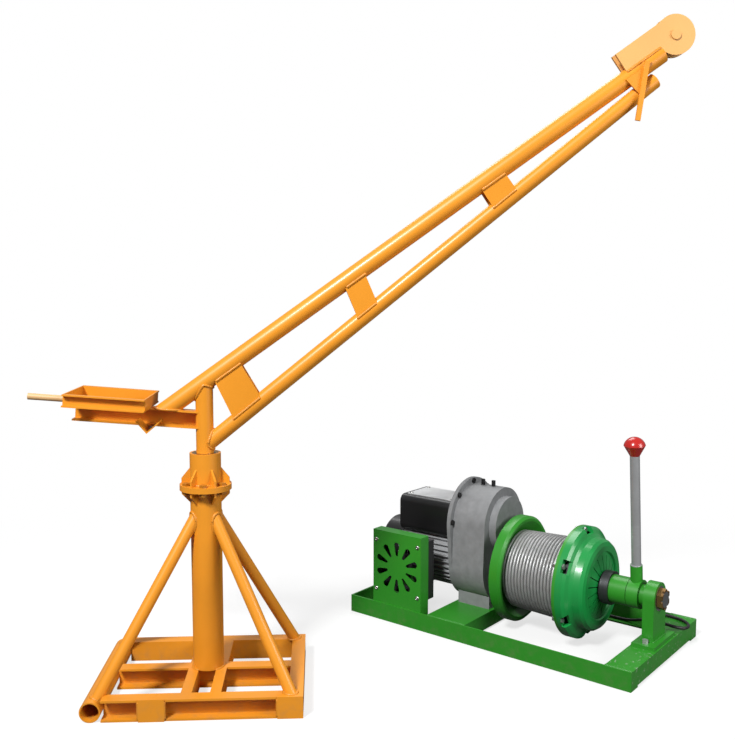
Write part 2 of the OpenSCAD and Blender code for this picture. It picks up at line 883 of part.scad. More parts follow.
// Cross channel with its flanges down, standing on the rails' lower legs
module cross_beam(x0, w) {
  l = frame_b - 2 * rail_t;
  h = rail_h - rail_t;
  translate([x0, 0, rail_t]) run_y(-l / 2, l)
    polygon([[0, 0], [rail_t, 0], [rail_t, h - rail_t], [w - rail_t, h - rail_t], [w - rail_t, 0],
      [w, 0], [w, h], [0, h]]);
}

module right_end_beam() {
  color("limegreen") on_winch() cross_beam(half_l - end_w, end_w);
}

module gearbox_bed() {
  color("limegreen") on_winch() cross_beam(case_x1 - (case_l + bed_w) / 2, bed_w);
}

// Box behind the front rail, open at the back, with a star of slots
module fan_guard() {
  y0 = -half_b + rail_t;
  color("limegreen") on_winch() difference() {
    translate([guard_x0, y0, rail_t]) cube([guard_w, guard_d, guard_h]);
    translate([guard_x0 + guard_t, y0 + guard_t, rail_t - over])
      cube([guard_w - 2 * guard_t, guard_d, guard_h + over - guard_t]);
    translate([guard_shift, y0 - over, guard_mid_z]) for (i = [0 : slot_n - 1])
      rotate([0, i * 360 / slot_n, 0]) run_y(0, guard_t + 2 * over) {
        translate([0, slot_in]) circle(r = slot_in_r);
        translate([0, slot_out]) circle(r = slot_out_r);
        polygon([[-slot_in_r, slot_in], [slot_in_r, slot_in],
          [slot_out_r, slot_out], [-slot_out_r, slot_out]]);
      }
  }
}

// Square frame of the cooling fan, with the struts and pin that carry its rotor
module fan_frame() {
  y0 = -half_b + rail_t + guard_d;
  color("black") on_winch() translate([guard_shift, y0, guard_mid_z]) {
    difference() {
      translate([-fan_w / 2, 0, -fan_w / 2]) cube([fan_w, fan_depth, fan_w]);
      translate([0, -over, 0]) rotate([-90, 0, 0]) cylinder(h = fan_depth + 2 * over, r = fan_bore_r);
    }
    for (a = [0, 90]) rotate([0, a, 0])
      translate([-fan_bore_r - strut_t / 2, fan_depth - strut_t, -strut_w / 2])
        cube([2 * fan_bore_r + strut_t, strut_t, strut_w]);
    rotate([-90, 0, 0]) cylinder(h = fan_depth, r = fan_pin_r);
  }
}

module fan_rotor() {
  y0 = -half_b + rail_t + guard_d;
  l = fan_depth - strut_t - face_gap;
  color("black") on_winch() translate([guard_shift, y0, guard_mid_z]) rotate([-90, 0, 0]) difference() {
    union() {
      cylinder(h = l, r = fan_hub_r);
      for (i = [0 : fan_blades - 1]) rotate([0, 0, i * 360 / fan_blades])
        translate([0, 0, l / 2]) rotate([blade_pitch, 0, 0])
          translate([0, -l * blade_share / 2, -blade_t / 2])
            cube([fan_bore_r - fan_tip_gap, l * blade_share, blade_t]);
    }
    translate([0, 0, -over]) cylinder(h = fan_depth + 2 * over, r = fan_pin_r + run);
  }
}

// Motor

// Finned tube with an end shield on each side
module motor_housing() {
  r = motor_d / 2 - fin_h;
  color("dimgray") on_axis() difference() {
    union() {
      bar_x(motor_x0, motor_l, r);
      for (i = [0 : fin_n - 1]) rotate([i * 360 / fin_n, 0, 0])
        translate([motor_x0 + motor_wall, -fin_t / 2, r / 2])
          cube([motor_l - 2 * motor_wall, fin_t, r / 2 + fin_h]);
    }
    bar_x(motor_x0 + motor_wall, motor_l - 2 * motor_wall, rotor_d / 2 + stator_gap);
    bar_x(motor_x0 - over, motor_l + 2 * over, rotor_shaft_d / 2 + bearing_t);
  }
}

// Round cup over the motor's cooling fan, with a ring of slots in its end
module motor_fan_cover() {
  r = motor_d / 2 - fin_h + fan_cover_t;
  x0 = motor_x0 - fan_cover_l;
  color("black") on_axis() difference() {
    bar_x(x0, fan_cover_l + cap_lap, r);
    bar_x(x0 + fan_cover_t, fan_cover_l + cap_lap, r - fan_cover_t);
    for (i = [0 : vent_n - 1]) rotate([i * 360 / vent_n, 0, 0])
      translate([x0 - over, -vent_w / 2, rotor_shaft_d])
        cube([fan_cover_t + 2 * over, vent_w, r - rotor_shaft_d - fan_cover_l / 3]);
  }
}

// Rotor: core, shaft, fan at the outer end and a six-sided seat for the pinion
module motor_rotor() {
  r = rotor_shaft_d / 2;
  fan_r = motor_d / 2 - fin_h - 2 * fan_cover_t;
  x0 = motor_x0 - fan_cover_l + 4 * fan_cover_t;
  core_x0 = motor_x0 + 2 * motor_wall;
  color("silver") on_axis() {
    bar_x(x0, high_x0 - x0, r);
    bar_x(core_x0, motor_l - 4 * motor_wall, rotor_d / 2);
    hex_x(high_x0 - over, gear_w + over, r * hex_share);
    bar_x(x0, fan_cover_l / 3, r * 2);
    for (i = [0 : fan_blades - 1]) rotate([i * 360 / fan_blades, 0, 0])
      translate([x0, -blade_t / 2, r]) cube([fan_cover_l / 2, blade_t, fan_r - r]);
  }
}

// The motor pinion shows a gap to the gear above it
module motor_pinion() {
  color("lightsteelblue") on_axis()
    gear(gear_high_pinion_n, high_x0, gear_w, rotor_shaft_d / 2 * hex_share, 1 / 2);
}

// Box on top of the motor, hollow, seated on the fins
// Flat box with round corners
module round_box_2d(w, h, r) {
  offset(r = r) square([w - 2 * r, h - 2 * r], center = true);
}

module terminal_box() {
  color("black") on_axis() difference() {
    slab_x(box_x0, box_l) translate([0, box_top - box_h / 2]) round_box_2d(box_w, box_h, box_corner);
    slab_x(box_x0 + case_t, box_l - 2 * case_t) translate([0, box_top / 2 + motor_d / 4])
      round_box_2d(box_w - 2 * case_t, box_top - motor_d / 2 - 2 * case_t, box_corner - case_t);
    bar_x(motor_x0 - over, motor_l + 2 * over, motor_d / 2 + run);
  }
}

module terminal_plate() {
  color("silver") on_axis() difference() {
    translate([box_x0 + plate_edge, -lid_w / 2, box_top])
      cube([box_l - 2 * plate_edge, lid_w, plate_t]);
    for (sx = [0, 1], sy = [-1, 1])
      translate([box_x0 + 2 * plate_edge + sx * (box_l - 4 * plate_edge), sy * (lid_w / 2 - plate_edge),
        box_top - over])
        cylinder(h = plate_t + 2 * over, r = plate_hole_r);
  }
}

// Gearbox

module gearbox_case() {
  foot_w = 2 * case_low_r * foot_share;
  color("darkgray") on_axis() difference() {
    union() {
      slab_x(case_x0, case_l) two_rounds_2d(case_low_r + case_t, case_high_r + case_t, centre_d);
      translate([case_x0, -foot_w / 2, rail_h - shaft_z]) cube([case_l, foot_w, shaft_z - rail_h]);
      translate([0, 0, centre_d]) bar_x(case_x1, bulge_l, bulge_r);
      bar_x(case_x1, bulge_l, neck_r);
    }
    slab_x(case_x0 - over, case_l - case_t + over) two_rounds_2d(case_low_r, case_high_r, centre_d);
    bar_x(case_x1 - case_t - over, case_t + bulge_l + 2 * over, shaft_d / 2 + bearing_t);
    translate([0, 0, centre_d]) bar_x(case_x1 - case_t - over, bearing_w + over, counter_d / 2 + bearing_t);
  }
}

// Plate that closes the case on the motor's side
module gearbox_cover() {
  color("darkgray") on_axis() difference() {
    slab_x(drive_x0, cover_plate_t)
      two_rounds_2d(case_low_r + case_t, case_high_r + case_t + case_lip, centre_d);
    bar_x(drive_x0 - over, cover_plate_t + 2 * over, rotor_shaft_d / 2 + bearing_t);
    translate([0, 0, centre_d]) bar_x(case_x0 - bearing_w / 2, bearing_w, counter_d / 2 + bearing_t);
  }
}

// Bolts round the gearbox cover, the breather and the lifting eye, and the pedestal's bolts
module winch_bolts() {
  d = clutch_bolt_d;
  color("black") on_axis() {
    for (a = cover_bolt_angles) translate([case_x0, 0, centre_d]) rotate([a, 0, 0])
      translate([0, case_high_r + case_t + case_lip / 2, 0]) rotate([0, 90, 0])
        cylinder(h = bolt_head_share * d, d = bolt_corner_share * d, $fn = hex);
    for (x = [case_x0 + case_l / 3, case_x0 + case_l * 2 / 3])
      translate([x, 0, centre_d + case_high_r + case_t]) cylinder(h = fitting_h, d = fitting_d);
    for (s = [-1, 1])
      translate([half_l - end_w / 2, s * (pedestal_w / 2 - 2 * d), rail_h - shaft_z + pedestal_foot_t])
        cylinder(h = bolt_head_share * d * 2, d = bolt_corner_share * d, $fn = hex);
  }
}

// Bearings of the motor, the gear train and the shaft's far end
module train_bearings() {
  color("silver") on_axis() {
    for (x = [motor_x0, motor_x0 + motor_l - motor_wall])
      ring_x(x, motor_wall, rotor_shaft_d / 2 + bearing_t, rotor_shaft_d / 2 + run);
    ring_x(case_x1 + bulge_l - bearing_w, bearing_w, shaft_d / 2 + bearing_t, shaft_d / 2 + run);
    translate([0, 0, centre_d]) {
      ring_x(case_x0 - bearing_w / 2, bearing_w / 2, counter_d / 2 + bearing_t, counter_d / 2 + run);
      ring_x(case_x1 - case_t, bearing_w, counter_d / 2 + bearing_t, counter_d / 2 + run);
    }
    ring_x(pedestal_x0 + hub_web, pedestal_t - hub_web, shaft_d / 2 + bearing_t, shaft_d / 2 + run);
  }
}

module countershaft() {
  r = counter_d / 2;
  x1 = case_x1 - case_t;
  color("silver") on_axis() translate([0, 0, centre_d]) {
    bar_x(case_x0 - bearing_w / 2 + face_gap, bearing_w / 2 - face_gap, r);
    hex_x(case_x0, x1 - case_x0, r * hex_share);
    bar_x(x1, bearing_w - face_gap, r);
  }
}

// The two gears of the countershaft on its six-sided middle
module counter_gears() {
  color("lightsteelblue") on_axis() translate([0, 0, centre_d]) {
    gear(gear_high_n, high_x0, gear_w, counter_d / 2 * hex_share);
    gear(gear_low_pinion_n, low_x0, gear_w, counter_d / 2 * hex_share);
  }
}

// Shaft through the drum to the pedestal, with seats for the gear and the clutch disc
module output_shaft() {
  r = shaft_d / 2;
  x1 = pedestal_x0 + pedestal_t + face_gap;
  color("silver") on_axis() {
    hex_x(low_x0, gear_w, r * hex_share);
    bar_x(low_x0 + gear_w, x1 + nut_w - low_x0 - gear_w, r);
  }
}

module drum_gear() {
  color("lightsteelblue") on_axis() gear(gear_low_n, low_x0, gear_w, shaft_d / 2 * hex_share);
}

module castle_nut() {
  x0 = pedestal_x0 + pedestal_t + face_gap;
  color("peru") on_axis() difference() {
    hex_x(x0, nut_w, nut_d / 2);
    bar_x(x0 - over, nut_w + 2 * over, shaft_d / 2);
    for (i = [0 : 2]) rotate([i * 60 + 30, 0, 0])
      translate([x0 + nut_w * nut_crown_share, -nut_d * nut_slot_share / 2, -nut_d])
        cube([nut_w, nut_d * nut_slot_share, 2 * nut_d]);
  }
}

// Drum and clutch

// Middle of the rope's tube at the given turn, counted in degrees
function rope_radius(t) = rope_r + rope_rise * t / (rope_turns * 360);
function rope_mid(t) = [rope_x0 + rope_pitch * t / 360, rope_radius(t) * cos(t), rope_radius(t) * sin(t)];
rope_mids = [for (i = [0 : rope_turns * ring_n]) rope_mid(i * 360 / ring_n)];
rope_last = rope_turns * 360;
// Straight end of one tube diameter before the first turn and after the last
rope_ends = [rope_mid(0) - [0, 0, rope_d], rope_mid(rope_last) + [0, 0, rope_d]];
rope_path = concat([rope_ends[0]], rope_mids, [rope_ends[1]]);
rope_turns_at = concat([0], [for (i = [0 : rope_turns * ring_n]) i * 360 / ring_n], [rope_last]);
rope_self_gap = min([for (i = [0 : len(rope_mids) - 1 - ring_n]) norm(rope_mids[i + ring_n] - rope_mids[i])])
  - rope_d;
echo(str("least gap of the rope winding to itself: ", rope_self_gap));

module rope_winding() {
  k = rope_sides;
  n = len(rope_path);
  pts = [for (i = [0 : n - 1], j = [0 : k - 1])
    let (a = j * 360 / k, t = rope_turns_at[i])
    rope_path[i] + rope_d / 2 * [sin(a), cos(a) * cos(t), cos(a) * sin(t)]];
  sides = [for (i = [0 : n - 2], j = [0 : k - 1])
    let (a = i * k + j, b = i * k + (j + 1) % k)
    each [[a, b, a + k], [b, b + k, a + k]]];
  caps = [for (j = [1 : k - 2]) each [[0, j + 1, j], [(n - 1) * k, (n - 1) * k + j, (n - 1) * k + j + 1]]];
  color("silver") on_axis() polyhedron(points = pts, faces = concat(sides, caps));
}

// Bowl flange, core and end disc in one casting, with a clip at each end of the rope
module drum_barrel() {
  core0 = (rope_r - rope_d / 2) * cos(180 / ring_n) - rope_gap;
  core1 = core0 + rope_rise;
  bore = shaft_d / 2 + run;
  cup = rope_x0 - rope_d / 2 - wind_side;
  lip = bowl_w * lip_share;
  color("limegreen") on_axis() difference() {
    union() {
      turn_x() polygon([[bore, drum_x0], [bowl_r * bowl_back_share, drum_x0], [bowl_r, drum_x0 + lip],
        [bowl_r, drum_x0 + bowl_w - lip / 2], [bowl_r - lip / 2, drum_x0 + bowl_w],
        [bowl_r - lip, drum_x0 + bowl_w], [core0 + rope_d, cup], [core0, cup], [core1, disc_x],
        [disc_r, disc_x], [disc_r, clutch_x], [bore, clutch_x], [bore, clutch_x - web_t],
        [core0 - core_wall, clutch_x - web_t], [core0 - core_wall, drum_x0 + web_t],
        [bore, drum_x0 + web_t]]);
      for (e = [0, 1]) rope_clip(e, core0 - core_wall / 2);
    }
    clutch_bolt_places() bar_x(disc_x - over, disc_t + 2 * over, clutch_bolt_d / 2 + bolt_gap);
  }
}

// Block on the core that the rope's end runs square into
module rope_clip(e, low) {
  p = rope_ends[e];
  translate([p[0] - rope_d / 2, low, e == 0 ? p[2] - clip_l : p[2]])
    cube([rope_d - 2 * rope_gap, p[1] + rope_d / 2 - low, clip_l]);
}

module clutch_bolt_places() {
  for (i = [0 : clutch_bolts_n - 1]) rotate([i * 360 / clutch_bolts_n, 0, 0])
    translate([0, 0, clutch_bolt_r]) children();
}

// Dished cover with bolt pockets round its rim
module clutch_cover() {
  x = clutch_x;
  h = clutch_h;
  r = disc_r;
  color("seagreen") on_axis() difference() {
    turn_x() polygon([for (q = cover_shares) [q[0] * r, x + q[1] * h]]);
    clutch_bolt_places() {
      bar_x(x - over, clutch_flange_t + 2 * over, clutch_bolt_d / 2 + bolt_gap);
      translate([x + clutch_flange_t, -pocket_w / 2, -clutch_bolt_d * pocket_share]) cube([h, pocket_w, r]);
    }
  }
}

module clutch_bolts() {
  color("dimgray") on_axis() clutch_bolt_places()
    translate([disc_x, 0, 0]) rotate([0, 90, 0]) bolt(clutch_bolt_d, disc_t + clutch_flange_t);
}

// Cone of spring steel with radial slits between its fingers
module diaphragm_spring() {
  x = clutch_x + clutch_h * spring_seat_share - spring_t;
  color("seagreen") on_axis() difference() {
    turn_x() polygon([[finger_r, x + spring_lift], [spring_r, x], [spring_r, x + spring_t],
      [finger_r, x + spring_lift + spring_t]]);
    for (i = [0 : slit_n - 1]) rotate([i * 360 / slit_n, 0, 0])
      translate([x - over, -slit_w / 2, 0])
        cube([spring_lift + spring_t + 2 * over, slit_w, spring_r * slit_share]);
  }
}

module pressure_plate() {
  x0 = clutch_x + lining_t + 2 * face_gap;
  x1 = clutch_x + clutch_h * spring_seat_share - spring_t - rope_gap;
  color("gray") on_axis() turn_x() polygon([[plate_in_r, x0], [lining_r, x0], [lining_r, x0 + plate_w],
    [spring_r, x0 + plate_w], [spring_r, x1], [spring_r - plate_w / 2, x1],
    [spring_r - plate_w / 2, x0 + plate_w], [plate_in_r, x0 + plate_w]]);
}

// Driven disc with its hub on the output shaft
module clutch_disc() {
  x0 = clutch_x + face_gap;
  r = shaft_d / 2;
  color("saddlebrown") on_axis() turn_x() polygon([[r, x0], [lining_r, x0], [lining_r, x0 + lining_t],
    [r + bearing_t, x0 + lining_t], [r + bearing_t, x0 + clutch_h / 2], [r, x0 + clutch_h / 2]]);
}

// Release gear, pedestal and lever

module release_bearing() {
  color("dimgray") on_axis() ring_x(release_x0, bearing_l, release_r, hub_r + run + nose_t);
}

module release_sleeve() {
  color("limegreen") on_axis() {
    ring_x(release_x0, bearing_l, hub_r + run + nose_t, hub_r + run);
    ring_x(release_x0 + bearing_l, sleeve_l, sleeve_r, hub_r + run);
  }
}

// Upright on a foot plate, with the hub that the sleeve and the lever's collar turn on
module pedestal() {
  foot_z = rail_h - shaft_z;
  color("limegreen") on_axis() difference() {
    union() {
      translate([half_l - end_w / 2 - pedestal_foot_l / 2, -pedestal_w / 2, foot_z])
        cube([pedestal_foot_l, pedestal_w, pedestal_foot_t]);
      bar_x(pedestal_x0, pedestal_t, pedestal_r);
      translate([pedestal_x0, -pedestal_r, foot_z]) cube([pedestal_t, 2 * pedestal_r, -foot_z]);
      bar_x(pedestal_x0 - hub_l, hub_l, hub_r);
    }
    bar_x(pedestal_x0 - hub_l - over, hub_l + pedestal_t + 2 * over, hub_bore_r);
    bar_x(pedestal_x0 + hub_web, pedestal_t - hub_web + over, shaft_d / 2 + bearing_t);
  }
}

module on_lever() {
  on_axis() rotate([lever_lean, 0, 0]) translate([collar_x0 + collar_l / 2, 0, 0]) children();
}

// Collar on the hub with the lever's socket, and the rod in it
module lever() {
  color("limegreen") on_lever() difference() {
    union() {
      bar_x(-collar_l / 2, collar_l, collar_r);
      cylinder(h = socket_l, d = socket_d);
    }
    bar_x(-socket_d, 2 * socket_d, hub_r + run);
  }
  color("gray") on_lever() translate([0, 0, socket_l]) cylinder(h = lever_l - socket_l, d = lever_d);
}

// Knob that widens from the rod as a cone, with a domed top
module lever_knob() {
  cone = knob_d * knob_cone_share;
  dome = knob_d * knob_dome_share;
  r = (knob_d * knob_d / 4 + dome * dome) / (2 * dome);
  color("firebrick") on_lever() translate([0, 0, lever_l]) intersection() {
    translate([0, 0, cone + dome - r]) sphere(r = r);
    cylinder(h = 2 * cone, d1 = lever_d, d2 = 2 * knob_d - lever_d);
  }
}

// Power cord

// Smooth curve through the route's points, at part t of the way from point i to the next
function cord_at(i, t) = let (p = cord_route, a = p[max(0, i - 1)], b = p[i], c = p[i + 1],
    d = p[min(len(p) - 1, i + 2)])
  b + t * (c - a) / 2 + t * t * (2 * a - 5 * b + 4 * c - d) / 2 + t * t * t * (3 * b - a - 3 * c + d) / 2;
cord_line = concat([for (i = [0 : len(cord_route) - 2], k = [0 : cord_steps - 1]) cord_at(i, k / cord_steps)],
  [cord_route[len(cord_route) - 1]]);
cord_spans = [for (i = [1 : len(cord_line) - 1]) norm(cord_line[i] - cord_line[i - 1])];
echo(str("length of the power cord: ", cord_spans * [for (l = cord_spans) 1]));

// Unit vector along the curve at ring i, from its neighbours
function along(p, i) = let (a = p[max(0, i - 1)], b = p[min(len(p) - 1, i + 1)]) (b - a) / norm(b - a);
// Two unit vectors square to a direction
function side_of(d) = let (s = cross(abs(d[2]) > 0.9 ? [0, 1, 0] : [0, 0, 1], d)) s / norm(s);

module power_cord() {
  k = cord_sides;
  n = len(cord_line);
  pts = [for (i = [0 : n - 1], j = [0 : k - 1])
    let (d = along(cord_line, i), s = side_of(d), u = cross(d, s), a = j * 360 / k)
    cord_line[i] + cord_d / 2 * (cos(a) * s + sin(a) * u)];
  sides = [for (i = [0 : n - 2], j = [0 : k - 1])
    let (a = i * k + j, b = i * k + (j + 1) % k)
    each [[a, a + k, b], [b, a + k, b + k]]];
  caps = [for (j = [1 : k - 2]) each [[0, j, j + 1], [(n - 1) * k, (n - 1) * k + j + 1, (n - 1) * k + j]]];
  color("black") on_winch() polyhedron(points = pts, faces = concat(sides, caps));
}

// Tapered strain relief on the terminal box's back
module cable_gland() {
  color("black") on_axis() translate([gland_x, box_w / 2, gland_z]) rotate([-90, 0, 0])
    rotate_extrude() polygon([[0, 0], [cord_d * gland_shares[0], 0], [cord_d * gland_shares[0], gland_l / 3],
      [cord_d * gland_shares[1], gland_l], [0, gland_l]]);
}

// Round plug that lies on the right end beam
module plug() {
  p = cord_route[len(cord_route) - 1];
  color("black") on_winch() translate(p) rotate([0, 0, 180]) rotate([0, 90, 0]) {
    cylinder(h = plug_l, d = plug_d);
    for (s = [-1, 1]) translate([0, s * plug_d / 4, plug_l]) cylinder(h = plug_pin_l, d = plug_pin_d);
  }
}

base_front_channel();
base_rear_channel();
base_left_tube();
base_right_channel();
base_cross_members();
mast_tube();
mast_flange();
mast_braces();
bearing_housing();
flange_bolts();
slew_bearings();
slewing_post();
tray_beam();
tray_cross_angle();
tray_frame();
tray_handle();
upper_jib_tube();
lower_jib_tube();
gusset_plates();
tag_bar();
head_cheeks();
sheave_pin();
rope_sheave();
winch_rails();
left_end_rail();
right_end_beam();
gearbox_bed();
fan_guard();
fan_frame();
fan_rotor();
motor_housing();
motor_fan_cover();
motor_rotor();
motor_pinion();
terminal_box();
terminal_plate();
gearbox_case();
gearbox_cover();
winch_bolts();
train_bearings();
countershaft();
counter_gears();
output_shaft();
drum_gear();
castle_nut();
drum_barrel();
rope_winding();
clutch_cover();
clutch_bolts();
diaphragm_spring();
pressure_plate();
clutch_disc();
release_bearing();
release_sleeve();
pedestal();
lever();
lever_knob();
power_cord();
cable_gland();
plug();
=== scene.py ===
"""Material hoist: a slewing jib crane and its clutch winch, dressed for a studio picture.

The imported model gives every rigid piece. This script adds the rope, the power cord, the weld
beads and the small screws, and gives each piece its finish. Lengths are in metres.
"""

import json
import math

import bpy
import numpy as np
from bpy.props import FloatProperty, FloatVectorProperty, IntProperty, PointerProperty
from bpy.types import Operator, Panel, PropertyGroup
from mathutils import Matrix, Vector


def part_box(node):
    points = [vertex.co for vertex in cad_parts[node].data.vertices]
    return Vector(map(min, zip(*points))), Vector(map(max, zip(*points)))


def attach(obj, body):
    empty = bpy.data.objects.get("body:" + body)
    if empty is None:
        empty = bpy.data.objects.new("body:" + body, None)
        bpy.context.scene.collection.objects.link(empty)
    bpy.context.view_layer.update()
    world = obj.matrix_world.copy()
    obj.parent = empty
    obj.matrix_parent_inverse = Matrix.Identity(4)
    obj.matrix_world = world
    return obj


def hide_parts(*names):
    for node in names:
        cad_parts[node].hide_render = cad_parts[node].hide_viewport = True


bl_info = {
    "name": "Material hoist",
    "version": (1, 0, 0),
    "blender": (4, 5, 0),
    "location": "3D View > Sidebar > Hoist",
    "description": "Rope, cord, welds, screws and finishes of a jib crane and its clutch winch",
    "category": "Object",
}

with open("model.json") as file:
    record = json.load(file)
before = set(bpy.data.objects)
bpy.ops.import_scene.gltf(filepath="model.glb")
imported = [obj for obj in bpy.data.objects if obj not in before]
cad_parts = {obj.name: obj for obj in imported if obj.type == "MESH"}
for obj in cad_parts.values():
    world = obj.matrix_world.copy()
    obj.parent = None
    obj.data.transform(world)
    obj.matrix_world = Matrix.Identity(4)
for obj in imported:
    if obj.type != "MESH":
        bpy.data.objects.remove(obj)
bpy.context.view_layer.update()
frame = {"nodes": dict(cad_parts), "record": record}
JOINTS = {j["name"]: j for j in frame["record"]["behaviour"]["joints"]}

# The winch stands turned on the floor: its drum axis and its middle come from the drum's joint
DRUM_MID = np.array(JOINTS["drum_spin"]["pos_m"])
DRUM_AXIS = np.array(JOINTS["drum_spin"]["axis"])
WINCH_SIDE = np.array([-DRUM_AXIS[1], DRUM_AXIS[0], 0.0])
UP = np.array([0.0, 0.0, 1.0])
# Top of the lever's socket, from the drum's axis
SOCKET_END = 0.096
# The end beam's two sides along the drum's axis
END_BEAM_X = (0.440, 0.525)
GALVANISED = (0.46, 0.47, 0.47)

# Power cord: its route in the winch's own frame, from the gland to the plug
CORD_ROUTE = np.array([
    [-0.250, 0.123, 0.360], [-0.250, 0.150, 0.360], [-0.249, 0.176, 0.351], [-0.246, 0.194, 0.329],
    [-0.242, 0.202, 0.297], [-0.237, 0.205, 0.262], [-0.231, 0.207, 0.227], [-0.223, 0.209, 0.192],
    [-0.212, 0.211, 0.158], [-0.196, 0.213, 0.126], [-0.174, 0.215, 0.098], [-0.145, 0.218, 0.077],
    [-0.112, 0.221, 0.067], [-0.078, 0.224, 0.0653], [-0.045, 0.227, 0.0653], [-0.012, 0.231, 0.058],
    [0.020, 0.235, 0.043], [0.055, 0.238, 0.027], [0.092, 0.240, 0.015], [0.132, 0.241, 0.0113],
    [0.175, 0.241, 0.0113], [0.220, 0.241, 0.0113], [0.265, 0.240, 0.0113], [0.305, 0.238, 0.014],
    [0.342, 0.235, 0.024], [0.375, 0.231, 0.040], [0.405, 0.228, 0.057], [0.438, 0.226, 0.0653],
    [0.470, 0.224, 0.0653], [0.500, 0.214, 0.0653], [0.524, 0.192, 0.0653], [0.533, 0.164, 0.066],
    [0.526, 0.137, 0.069], [0.505, 0.118, 0.075], [0.480, 0.112, 0.079], [0.466, 0.112, 0.079],
])


def in_winch(points):
    """Points of the winch's own frame (along the drum, across it, above the floor) in the model's."""
    p = np.asarray(points, dtype=float)
    foot = DRUM_MID * [1, 1, 0]
    return foot + p[..., :1] * DRUM_AXIS + p[..., 1:2] * WINCH_SIDE + p[..., 2:3] * UP


# Settings that a user would change


class HoistCamera(PropertyGroup):
    """Place and lens of the photograph's camera."""

    place: FloatVectorProperty(name="Place", description="Where the camera stands", subtype="TRANSLATION",
                               unit="LENGTH", default=(0.329, -2.57, 1.17))
    yaw: FloatProperty(name="Yaw", description="Turn of the view towards +X", default=math.radians(3.06),
                       subtype="ANGLE")
    pitch: FloatProperty(name="Pitch", description="Dip of the view below level", default=math.radians(5.4),
                         subtype="ANGLE")
    focal_px: FloatProperty(name="Focal length", description="Focal length in the photograph's pixels",
                            default=900.0)
    image_px: FloatProperty(name="Image height", description="Height of the photograph in pixels",
                            default=740.0)


class HoistColours(PropertyGroup):
    """Colours of the finishes, as they look in plain light."""

    orange: FloatVectorProperty(name="Crane orange", description="Paint of the crane", subtype="COLOR",
                                default=(0.73, 0.272, 0.017))
    pale_orange: FloatVectorProperty(name="Pale orange", description="Paint of the jib's head",
                                     subtype="COLOR", default=(0.74, 0.39, 0.12))
    tan: FloatVectorProperty(name="Tan", description="Handle of the tray", subtype="COLOR",
                             default=(0.62, 0.38, 0.17))
    green: FloatVectorProperty(name="Winch green", description="Paint of the winch's frame", subtype="COLOR",
                               default=(0.026, 0.25, 0.017))
    teal: FloatVectorProperty(name="Clutch green", description="Paint of the clutch's cover", subtype="COLOR",
                              default=(0.009, 0.26, 0.052))
    grey: FloatVectorProperty(name="Casting grey", description="Paint of the motor and the gearbox",
                              subtype="COLOR", default=(0.21, 0.215, 0.22))
    red: FloatVectorProperty(name="Knob red", description="Ball on the lever", subtype="COLOR",
                             default=(0.45, 0.016, 0.012))


class HoistRope(PropertyGroup):
    """Wire rope on the drum."""

    diameter: FloatProperty(name="Diameter", description="Rope's diameter", default=0.011, unit="LENGTH")
    pitch: FloatProperty(name="Pitch", description="From one turn to the next", default=0.012, unit="LENGTH")
    turns: IntProperty(name="Turns", description="Turns on the drum", default=17)
    start: FloatProperty(name="Start", description="First turn's place along the drum's axis", default=0.0102,
                         unit="LENGTH")
    radius: FloatProperty(name="Radius", description="Middle of the rope at the first turn", default=0.126,
                          unit="LENGTH")
    rise: FloatProperty(name="Rise", description="Growth of the radius over all turns", default=0.007,
                        unit="LENGTH")
    lay: FloatProperty(name="Lay", description="Length in which a strand goes once round", default=0.075,
                       unit="LENGTH")
    strands: IntProperty(name="Strands", description="Strands in the rope", default=6)


class HoistCord(PropertyGroup):
    """Power cord of the winch."""

    diameter: FloatProperty(name="Diameter", description="Cord's diameter", default=0.010, unit="LENGTH")
    steps: IntProperty(name="Steps", description="Rings between two points of the route", default=6)
    sides: IntProperty(name="Sides", description="Sides of the cord's tube", default=20)


class HoistWelds(PropertyGroup):
    """Weld beads where tubes and plates meet."""

    radius: FloatProperty(name="Radius", description="Half width of a bead", default=0.0042, unit="LENGTH")
    ripple: FloatProperty(name="Ripple", description="Distance between two ripples", default=0.0045,
                          unit="LENGTH")


# Mesh helpers


def add_mesh(name, verts, faces, body, smooth=True):
    """A mesh object at the origin from arrays, riding on a body."""
    mesh = bpy.data.meshes.new(name)
    mesh.from_pydata(np.asarray(verts).tolist(), [], faces.tolist() if hasattr(faces, "tolist") else faces)
    mesh.polygons.foreach_set("use_smooth", np.full(len(mesh.polygons), smooth))
    mesh.update()
    obj = bpy.data.objects.new(name, mesh)
    bpy.context.collection.objects.link(obj)
    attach(obj, body)
    return obj


def grid_faces(rows, cols, close_rows=False):
    """Quads of a grid of rows by cols points whose columns close on themselves."""
    i = np.arange(rows if close_rows else rows - 1)[:, None]
    j = np.arange(cols)[None, :]
    a = i * cols + j
    b = i * cols + (j + 1) % cols
    c = ((i + 1) % rows) * cols + (j + 1) % cols
    d = ((i + 1) % rows) * cols + j
    return np.stack([a, b, c, d], axis=-1).reshape(-1, 4)


def unit(v):
    """Vectors scaled to length one."""
    return v / np.maximum(np.linalg.norm(v, axis=-1, keepdims=True), 1e-12)


def smooth_curve(points, steps):
    """Curve through points: the cubic whose slope at a point is half the step across its neighbours."""
    p = np.asarray(points)
    a = np.vstack([p[:1], p[:-1]])[:-1]
    b, c = p[:-1], p[1:]
    d = np.vstack([p[2:], p[-1:]])
    t = (np.arange(steps) / steps)[None, :, None]
    a, b, c, d = (q[:, None, :] for q in (a, b, c, d))
    line = b + t * (c - a) / 2 + t**2 * (2 * a - 5 * b + 4 * c - d) / 2 + t**3 * (3 * b - a - 3 * c + d) / 2
    return np.vstack([line.reshape(-1, 3), p[-1:]])


